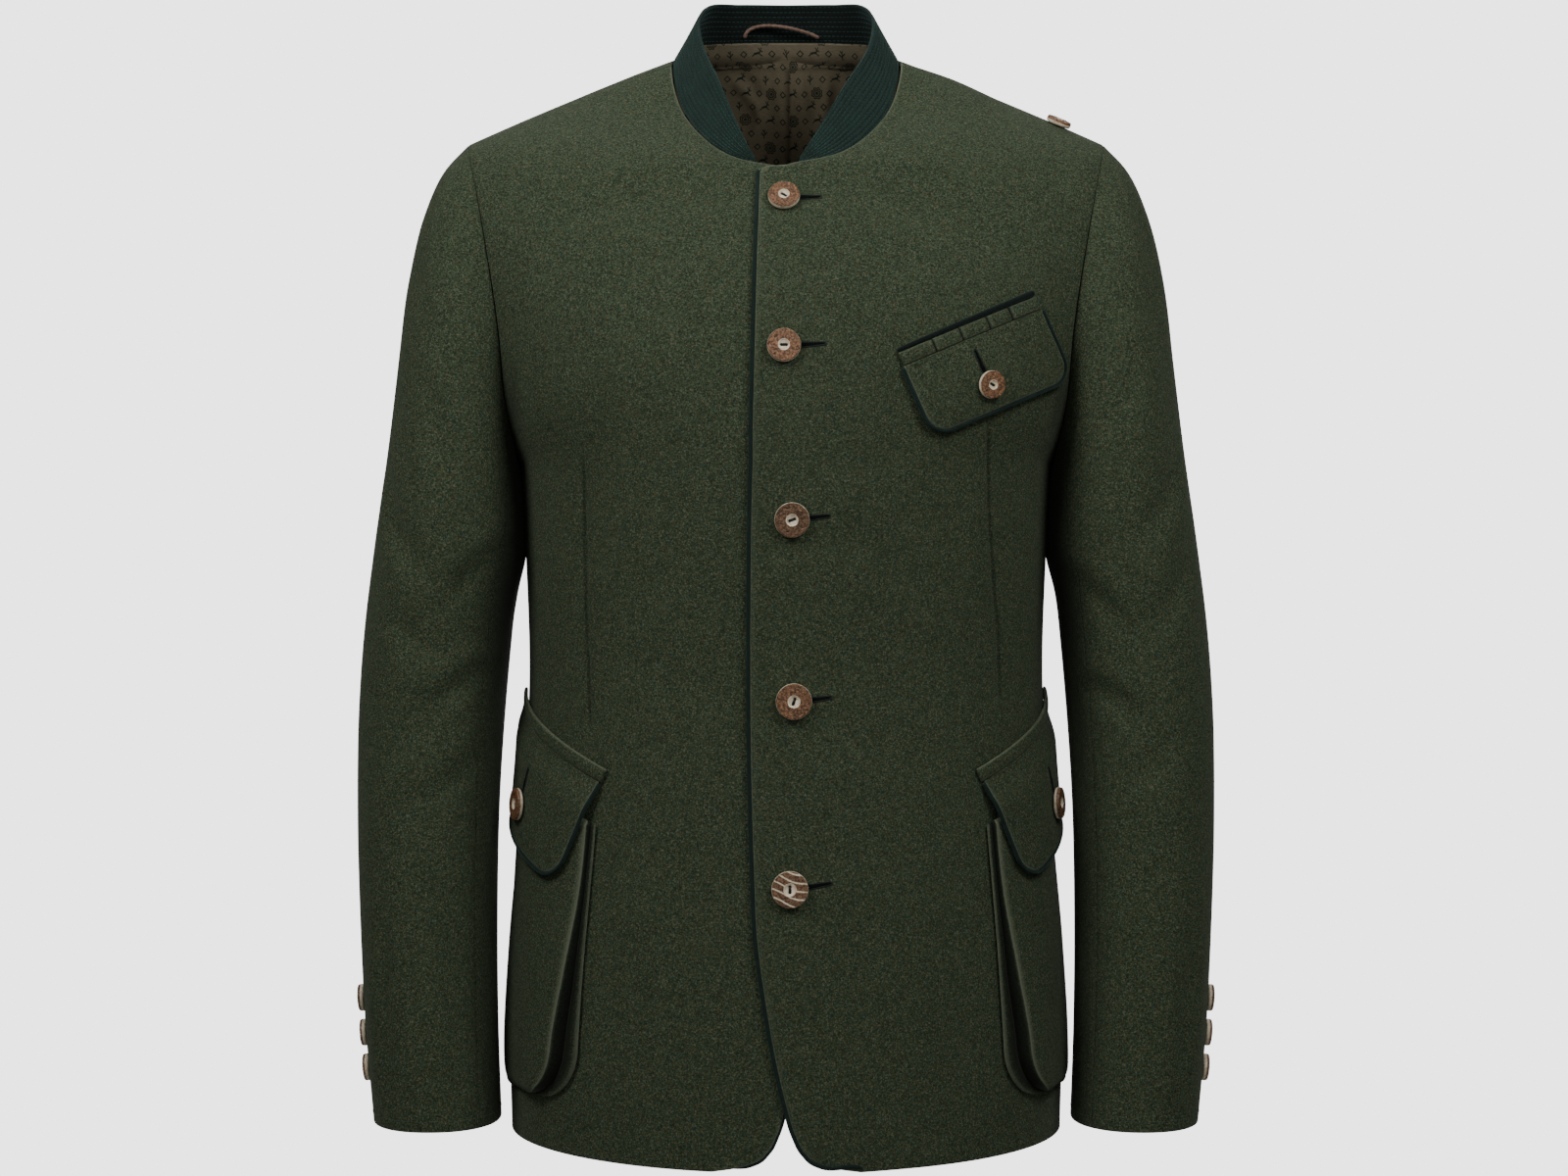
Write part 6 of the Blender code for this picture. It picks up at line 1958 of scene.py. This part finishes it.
add_flap("chest_flap", chest_place, CHEST_FLAP, chest_flap_height, 26, 46, ["front_left_cloth"])
add_loden("chest_band", *build_band(chest_place, CHEST_FLAP["width"], -GAP - CHEST_BAND_HEIGHT,
                                    CHEST_DENTS), (0.0985, 0.010), ["front_left_cloth"], "folded")
share = np.linspace(0, 1, 90)
radius = PIPING_RADIUS * (1 + CHEST_OPENING * share)
route = chest_place((share - 0.5) * CHEST_FLAP["width"], -CHEST_BAND_HEIGHT - 2 * GAP - radius,
                    PIPING_RADIUS + TRIM_UNDER)
add_piping("chest_piping", *route, PIPING_RADIUS, CHEST_OPENING, CHEST_OPENING_PAINTED_SHADE)

# %% [markdown]
# ## Horn buttons
#
# Each button is a slice across a stag's antler. The outer bark is brown, ridged and pitted. Where
# it is turned down, at the rim and in the round well, the cream inside shows. Two holes are
# drilled in the well, and dark green thread joins them. Every button gets its own pits from its
# own seed. The bark is worn off the rims of the front and chest buttons and stays on those of the
# others.

# %% Button form
BUTTON_THICKNESS = 0.0042
WELL, BARK_IN, BARK_OUT = 0.285, 0.335, 0.945      # radii as shares of the button's
HOLE_RADIUS, HOLE_APART = 0.085, 0.150
HOLE_DEPTH = 0.34            # as a share of the thickness
PITS = 130
PIT_PLACES = (0.13, 0.86)    # squares of their distances from the middle
PIT_SIZES, PIT_DEPTHS = (0.020, 0.058), (-0.16, 0.10)
PALE_FROM = 0.072            # bumps that are higher than this are rubbed pale
WELL_HEIGHTS = (0.58, 0.16, 0.20)    # its middle, its rise to its edge and that to the bark
RIM_FALL = 0.30
BARK_FADE = 0.05
WORN_RIM, BARK_RIM = 0.35, 0.95      # how much bark is left on the rim
BUTTON_RINGS = np.concatenate([np.linspace(0.0, WELL, 17), np.linspace(WELL, BARK_IN, 5)[1:],
                               np.linspace(BARK_IN, BARK_OUT, 20)[1:],
                               np.linspace(BARK_OUT, 1.0, 7)[1:]])
BACK_RINGS = (1.004, 1.0, 0.96, 0.86, 0.5, 0.0)        # down the rim and over the back
BACK_HEIGHTS = (0.46, 0.24, 0.08, 0.0, 0.0, 0.0)
BACK_CREAM = 0.72
BUTTON_SECTORS = 84
STRAND_RADIUS, STRANDS_APART, STRAND_DIP = 0.00044, 0.00050, 1.8
STRAND_HEIGHT, STRAND_REACH = 0.66, 2.3      # shares of the thickness and of HOLE_APART


def button_top(r, x, y, seed, slot, rim_bark):
    """Height of the top as a share of the thickness, and its cream and hole values."""
    chance = np.random.default_rng(seed)
    steps = 1.0, ease(r / WELL), ease((r - WELL) / (BARK_IN - WELL))
    well = sum(height * step for height, step in zip(WELL_HEIGHTS, steps))
    edge = np.clip((r - BARK_OUT) / (1 - BARK_OUT), 0, 1)
    turn, out = chance.uniform(0, 2 * np.pi, PITS), np.sqrt(chance.uniform(*PIT_PLACES, PITS))
    size, depth = chance.uniform(*PIT_SIZES, PITS), chance.uniform(*PIT_DEPTHS, PITS)
    away2 = ((x[..., None] - out * np.cos(turn)) ** 2 + (y[..., None] - out * np.sin(turn)) ** 2)
    rough = np.sum(depth * np.exp(-away2 / size ** 2), axis=-1)
    on_bark = ease((r - BARK_IN) / BARK_FADE) * ease((BARK_OUT + BARK_FADE - r) / BARK_FADE)
    pale = np.sum((depth > PALE_FROM) * np.exp(-away2 / (0.8 * size) ** 2), axis=-1)
    cream = 1 - on_bark * (1 - 0.5 * np.clip(pale, 0, 1)) - rim_bark * (r > BARK_OUT)
    away = np.minimum(*(np.hypot(x - at * np.cos(slot), y - at * np.sin(slot))
                        for at in (-HOLE_APART, HOLE_APART)))
    hole = ease((1.25 * HOLE_RADIUS - away) / (0.5 * HOLE_RADIUS))
    return well - RIM_FALL * edge ** 2 + on_bark * rough - HOLE_DEPTH * hole, cream, hole


def frame_of(normal):
    """Two directions across a normal: sideways to the right as seen from outside, and up."""
    right = unit(np.cross((0.0, 0.0, 1.0), normal))
    return right, np.cross(normal, right)


def bark_stripes(x, y):
    """Pale bands that run across a button cut from near the antler's side."""
    lean = np.radians(-18)
    across = y * np.cos(lean) - x * np.sin(lean)
    return np.clip(1.6 * np.sin(across * 15.0 + 1.2 * np.sin(3.1 * x + 1.0)) - 0.7, 0, 1)


def build_button(place, normal, diameter, seed, slot, tone, stripes, rim_bark):
    """Top, rim and back as one polar grid, with its point values, and its thread."""
    radius = diameter / 2
    turn = np.linspace(0, 2 * np.pi, BUTTON_SECTORS + 1)
    r, angle = np.meshgrid(np.concatenate([BUTTON_RINGS, BACK_RINGS]), turn, indexing="ij")
    x, y = r * np.cos(angle), r * np.sin(angle)
    height, cream, hole = button_top(np.minimum(r, 1.0), x, y, seed, slot, rim_bark)
    count = len(BUTTON_RINGS)
    height[count:] = np.array(BACK_HEIGHTS)[:, None]
    cream[count:], hole[count:] = BACK_CREAM, 0.0
    if stripes:
        cream = np.maximum(cream, 0.9 * bark_stripes(x, y))
    right, up = frame_of(normal)
    base = place + normal * 2 * GAP
    points = (base + (x * radius)[..., None] * right + (y * radius)[..., None] * up
              + (height * BUTTON_THICKNESS)[..., None] * normal)
    flip = outward(points, points - base - normal * BUTTON_THICKNESS / 2)
    values = {"cream": cream.ravel(), "hole": hole.ravel(), "tone": np.full(cream.size, tone)}
    thread = sewn_thread(base, normal, right * np.cos(slot) + up * np.sin(slot), radius)
    return (points.reshape(-1, 3), grid_quads(*x.shape, 0, not flip)), values, thread


def sewn_thread(base, normal, way, radius):
    """Three strands side by side from one hole to the other."""
    aside = np.array((-STRANDS_APART, 0.0, STRANDS_APART))[:, None]
    centres = base + normal * BUTTON_THICKNESS * STRAND_HEIGHT + np.cross(normal, way) * aside
    return capsules(centres, np.tile(way, (3, 1)), np.tile(normal, (3, 1)),
                    STRAND_REACH * HOLE_APART * radius, STRAND_RADIUS, STRAND_DIP)


# %% Where the buttons sit
BUTTONS_FRONT = table(
    "x       z        diameter slot  tone",
    (-0.0013, -0.1006, 0.0206, -35, 0.80),
    (-0.0013, -0.1973, 0.0216, 0,   0.95),
    (0.0038,  -0.3083, 0.0225, 20,  0.25),
    (0.0050,  -0.4252, 0.0232, 70,  0.70),
    (0.0025,  -0.5450, 0.0236, 90,  0.50))
SLEEVE_BUTTON_Z = (-0.6305, -0.6535, -0.6765)
SLEEVE_BUTTON_ANGLE = -3.0
SLEEVE_BUTTON_DIAMETER = 0.0180
CHEST_BUTTON_DIAMETER = 0.0182
SIDE_BUTTON_DIAMETER = 0.0212
SHOULDER_BUTTON_PLACE = (0.992, 0.770)       # level and share
SHOULDER_BUTTON_DIAMETER = 0.0170
STRIPED_BUTTON = "button_front_5"


def button_places():
    """Name, place, normal, diameter, slot angle and tone of every button."""
    found = [(f"button_front_{k + 1}", *seen_from_front(x, z), *rest)
             for k, (x, z, *rest) in enumerate(zip(*BUTTONS_FRONT.values()))]
    d = CHEST_BUTTON_DOWN
    found.append(("button_chest", *chest_place(CHEST_BUTTON_ASIDE, d, chest_flap_height(d) + WALL),
                  CHEST_BUTTON_DIAMETER, -28, 0.9))
    d = SIDE_BUTTON_DOWN
    for side, slot, tone in (("left", 100, 0.4), ("right", 80, 0.75)):
        place, normal = side_place(side, 0.0, d, side_flap_height(d) + WALL)
        found.append((f"button_side_{side}", place, normal, SIDE_BUTTON_DIAMETER, slot, tone))
    down = np.linspace(0, 1, 400)
    for side in SIDES:
        line = SLEEVES[side].read(down, np.full(400, SLEEVE_BUTTON_ANGLE))[0][:, 2]
        for k, z in enumerate(SLEEVE_BUTTON_Z):
            found.append((f"button_sleeve_{side}_{k + 1}",
                          *SLEEVES[side].read(np.interp(-z, -line, down), SLEEVE_BUTTON_ANGLE),
                          SLEEVE_BUTTON_DIAMETER, 40 * k - 20, 0.3 + 0.25 * k))
    found.append(("button_shoulder", *TORSO[-1, "left"].read(*SHOULDER_BUTTON_PLACE),
                  SHOULDER_BUTTON_DIAMETER, 15, 0.85))
    return found


# %% Build the buttons
threads = []
for seed, (name, place, normal, diameter, slot, tone) in enumerate(button_places(), 3):
    worn = name.startswith(("button_front", "button_chest"))
    parts, values, thread = build_button(place, unit(normal), diameter, seed, np.radians(slot),
                                         tone, name == STRIPED_BUTTON,
                                         WORN_RIM if worn else BARK_RIM)
    make_piece(f"{name}_horn", parts, HORN, "horn", name, values=values)
    threads.append(thread)
piece = make_piece("button_threads", join_parts(threads), DARK_THREAD, "green_cloth")
print("buttons:", len(threads), "with", len(piece.data.polygons), "faces of thread")

# %% [markdown]
# ## Buttonholes
#
# A buttonhole is a slit worked all round with close stitches in dark thread. The pull of its
# button opens the near end, so the slit is widest there and runs out to a point. The slit is a
# lens of painted shade laid on the cloth, for the shadow inside it. The stitches stand across it
# on both sides and fan out round its far end.

# %% Build the buttonholes
SLIT_NEAR, SLIT_FAR = 0.00125, 0.00035   # half widths at the button and at the far end
SLIT_HEIGHT, SLIT_THICK = 0.00022, 0.00020
WORKED_LENGTH = 0.0013
WORKED_RADIUS = 0.00028
WORKED_PITCH = 0.00048
WORKED_DIP = 1.2
WORKED_OUT = 0.42 * WORKED_LENGTH        # from the slit's edge to the middle of a stitch
WORKED_FAN, FAN_STITCHES = 0.45 * np.pi, 9       # round the far end
FRONT_HOLE_START = 0.004     # from the middle of the button
FLAP_HOLE_START = 0.003
HOLE_ENDS = np.array((
    (0.0222, -0.1000),
    (0.0248, -0.1960),
    (0.0273, -0.3058),
    (0.0286, -0.4226),
    (0.0286, -0.5412)))


def build_buttonhole(place, length):
    """Slit and worked stitches. Place gives points and normals for along and aside positions."""
    at = np.linspace(0, length, 60)
    wide = SLIT_FAR + (SLIT_NEAR - SLIT_FAR) * (1 - at / length) ** 0.8
    half = wide * quarter(np.minimum(at, length - at), 0.0006)
    across = np.array((-1.0, -0.7, 0.0, 0.7, 1.0))
    along, aside = np.broadcast_arrays(at[:, None], half[:, None] * across)
    slit = wall_parts(*place(along, aside), SLIT_HEIGHT,
                      SLIT_THICK * np.sqrt(np.clip(1 - across ** 2, 0, 1)) + 0 * along)
    row = np.arange(0.5, length / WORKED_PITCH) * WORKED_PITCH
    beside = np.interp(row, at, wide) + WORKED_OUT
    turn = np.linspace(-WORKED_FAN, WORKED_FAN, FAN_STITCHES)
    reach = SLIT_FAR + WORKED_OUT
    u = np.concatenate([row, row, length + reach * np.cos(turn)])
    v = np.concatenate([beside, -beside, reach * np.sin(turn)])
    du = np.concatenate([0 * row, 0 * row, np.cos(turn)])
    dv = np.concatenate([0 * row + 1, 0 * row - 1, np.sin(turn)])
    centres, flat = place(u, v)
    ahead = place(u + 0.0005 * du, v + 0.0005 * dv)[0]
    return slit, capsules(lie(centres, flat, SLIT_THICK), ahead - centres, flat, WORKED_LENGTH,
                          WORKED_RADIUS, WORKED_DIP)


def on_front(start, way, along, aside):
    """Places beside a straight line on the left front, seen from the front."""
    return seen_from_front(start[0] + along * way[0] - aside * way[1],
                           start[1] + along * way[1] + aside * way[0])


def on_flap(place, stand, w, d, along, aside):
    """Places beside a line that runs up a flap from its button."""
    return place(w + aside, d - along, stand(d - along) + WALL)


holes = []
for x, z, end in zip(BUTTONS_FRONT["x"], BUTTONS_FRONT["z"], HOLE_ENDS):
    start = np.array((x + FRONT_HOLE_START, z))
    length = np.linalg.norm(end - start)
    holes.append((partial(on_front, start, (end - start) / length), length))
holes.append((partial(on_flap, chest_place, chest_flap_height, CHEST_BUTTON_ASIDE,
                      CHEST_BUTTON_DOWN - FLAP_HOLE_START), 0.0200))
holes += [(partial(on_flap, partial(side_place, side), side_flap_height, 0.0,
                   SIDE_BUTTON_DOWN - FLAP_HOLE_START), 0.0230) for side in SIDES]
slits, worked = zip(*(build_buttonhole(*hole) for hole in holes))
make_piece("buttonhole_slits", join_parts(slits), RECESS_PAINTED_SHADE, "green_cloth")
piece = make_piece("buttonhole_stitches", join_parts(worked), DARK_THREAD, "green_cloth")
print("buttonholes:", len(slits), "with", len(piece.data.polygons), "faces of stitches")

# %% [markdown]
# ## Camera, light and floor
#
# The jacket is shown from straight in front at chest height, with a long lens so that it keeps
# its proportions. Soft light comes from two area lamps high in front, the left one stronger, with
# a weak one behind the camera, one above and one behind the jacket, as in a plain studio. The
# floor is pale and lies far enough below the hem to leave no shadow of its own.

# %% Camera
CAMERA_DISTANCE = 2.2
CAMERA_Z = -0.302
CAMERA_LENS, CAMERA_SENSOR = 74.43, 36.0
CAMERA_SHIFT = (-0.00125, -0.05)


def add_object(name, data):
    """An object of its own, linked to the scene."""
    made = bpy.data.objects.new(name, data)
    bpy.context.scene.collection.objects.link(made)
    return made


view = bpy.data.cameras.new("camera")
view.lens, view.sensor_width = CAMERA_LENS, CAMERA_SENSOR
view.shift_x, view.shift_y = CAMERA_SHIFT
camera = add_object("camera", view)
camera.location = (0.0, -CAMERA_DISTANCE, CAMERA_Z)
camera.rotation_euler = (np.pi / 2, 0.0, 0.0)
bpy.context.scene.camera = camera
print("camera", tuple(camera.location), "lens", view.lens)

# %% Light
LAMPS = (  # name, place, target, size, power
    ("key_left", (-0.80, -0.85, 0.62), (0.02, 0.0, -0.15), 0.5, 12.5),
    ("key_right", (0.75, -0.95, 0.62), (0.02, 0.0, -0.15), 0.5, 11.5),
    ("fill", (0.2, -2.4, 0.5), (0.0, 0.0, -0.20), 1.2, 5.0),
    ("rim", (-0.1, 0.9, 1.5), (0.0, 0.0, -0.20), 1.0, 11.0),
    ("back_lamp", (0.5, 2.2, 0.3), (0.0, 0.0, -0.30), 1.2, 14.0))
WORLD_SEEN = 3.15        # how bright the plain background looks
WORLD_LIGHT = 0.11       # and how much soft light it gives
FLOOR_Z = -1.60
FLOOR_RADIUS = 3.9
FLOOR_SEEN = 2.3         # the floor looks a little darker than the wall behind

for name, place, target, size, power in LAMPS:
    light = bpy.data.lights.new(name, "AREA")
    light.shape, light.size, light.energy = "SQUARE", size, power
    lamp = add_object(name, light)
    lamp.location = place
    lamp.rotation_euler = (Vector(target) - Vector(place)).to_track_quat("-Z", "Y").to_euler()
    lamp.visible_camera = False


def split_camera_rays(tree, lit, plain, output):
    """The camera sees the plain shader, and all other rays see the lit one."""
    seen = wire(tree, "LightPath", output="Is Camera Ray")
    feed(tree.nodes[output], {"Surface": wire(tree, "MixShader", {0: seen, 1: lit, 2: plain})})


# %% Background and floor
world = bpy.data.worlds.new("studio")
bpy.context.scene.world = world
world.use_nodes = True
around = world.node_tree.nodes["Background"]
feed(around, {"Color": WHITE, "Strength": WORLD_LIGHT})
split_camera_rays(world.node_tree, Wire(around.outputs[0]), wire(
    world.node_tree, "Background", {"Color": WHITE, "Strength": WORLD_SEEN}), "World Output")

floor_material, tree, shader = finish_material("floor", {
    "Base Color": (0.80, 0.80, 0.80), "Roughness": 0.9, "Specular IOR Level": 0.2})
split_camera_rays(tree, Wire(shader.outputs[0]), wire(
    tree, "Emission", {"Color": WHITE, "Strength": FLOOR_SEEN}), "Material Output")
turn = np.linspace(0, 2 * np.pi, 97)[:-1]
rim = stack(FLOOR_RADIUS * np.cos(turn), FLOOR_RADIUS * np.sin(turn), FLOOR_Z)
floor_mesh = bpy.data.meshes.new("floor")
floor_mesh.from_pydata(rim.tolist(), [], [list(range(len(rim)))])
floor_mesh.materials.append(floor_material)
add_object("floor", floor_mesh)
print("floor at", FLOOR_Z)
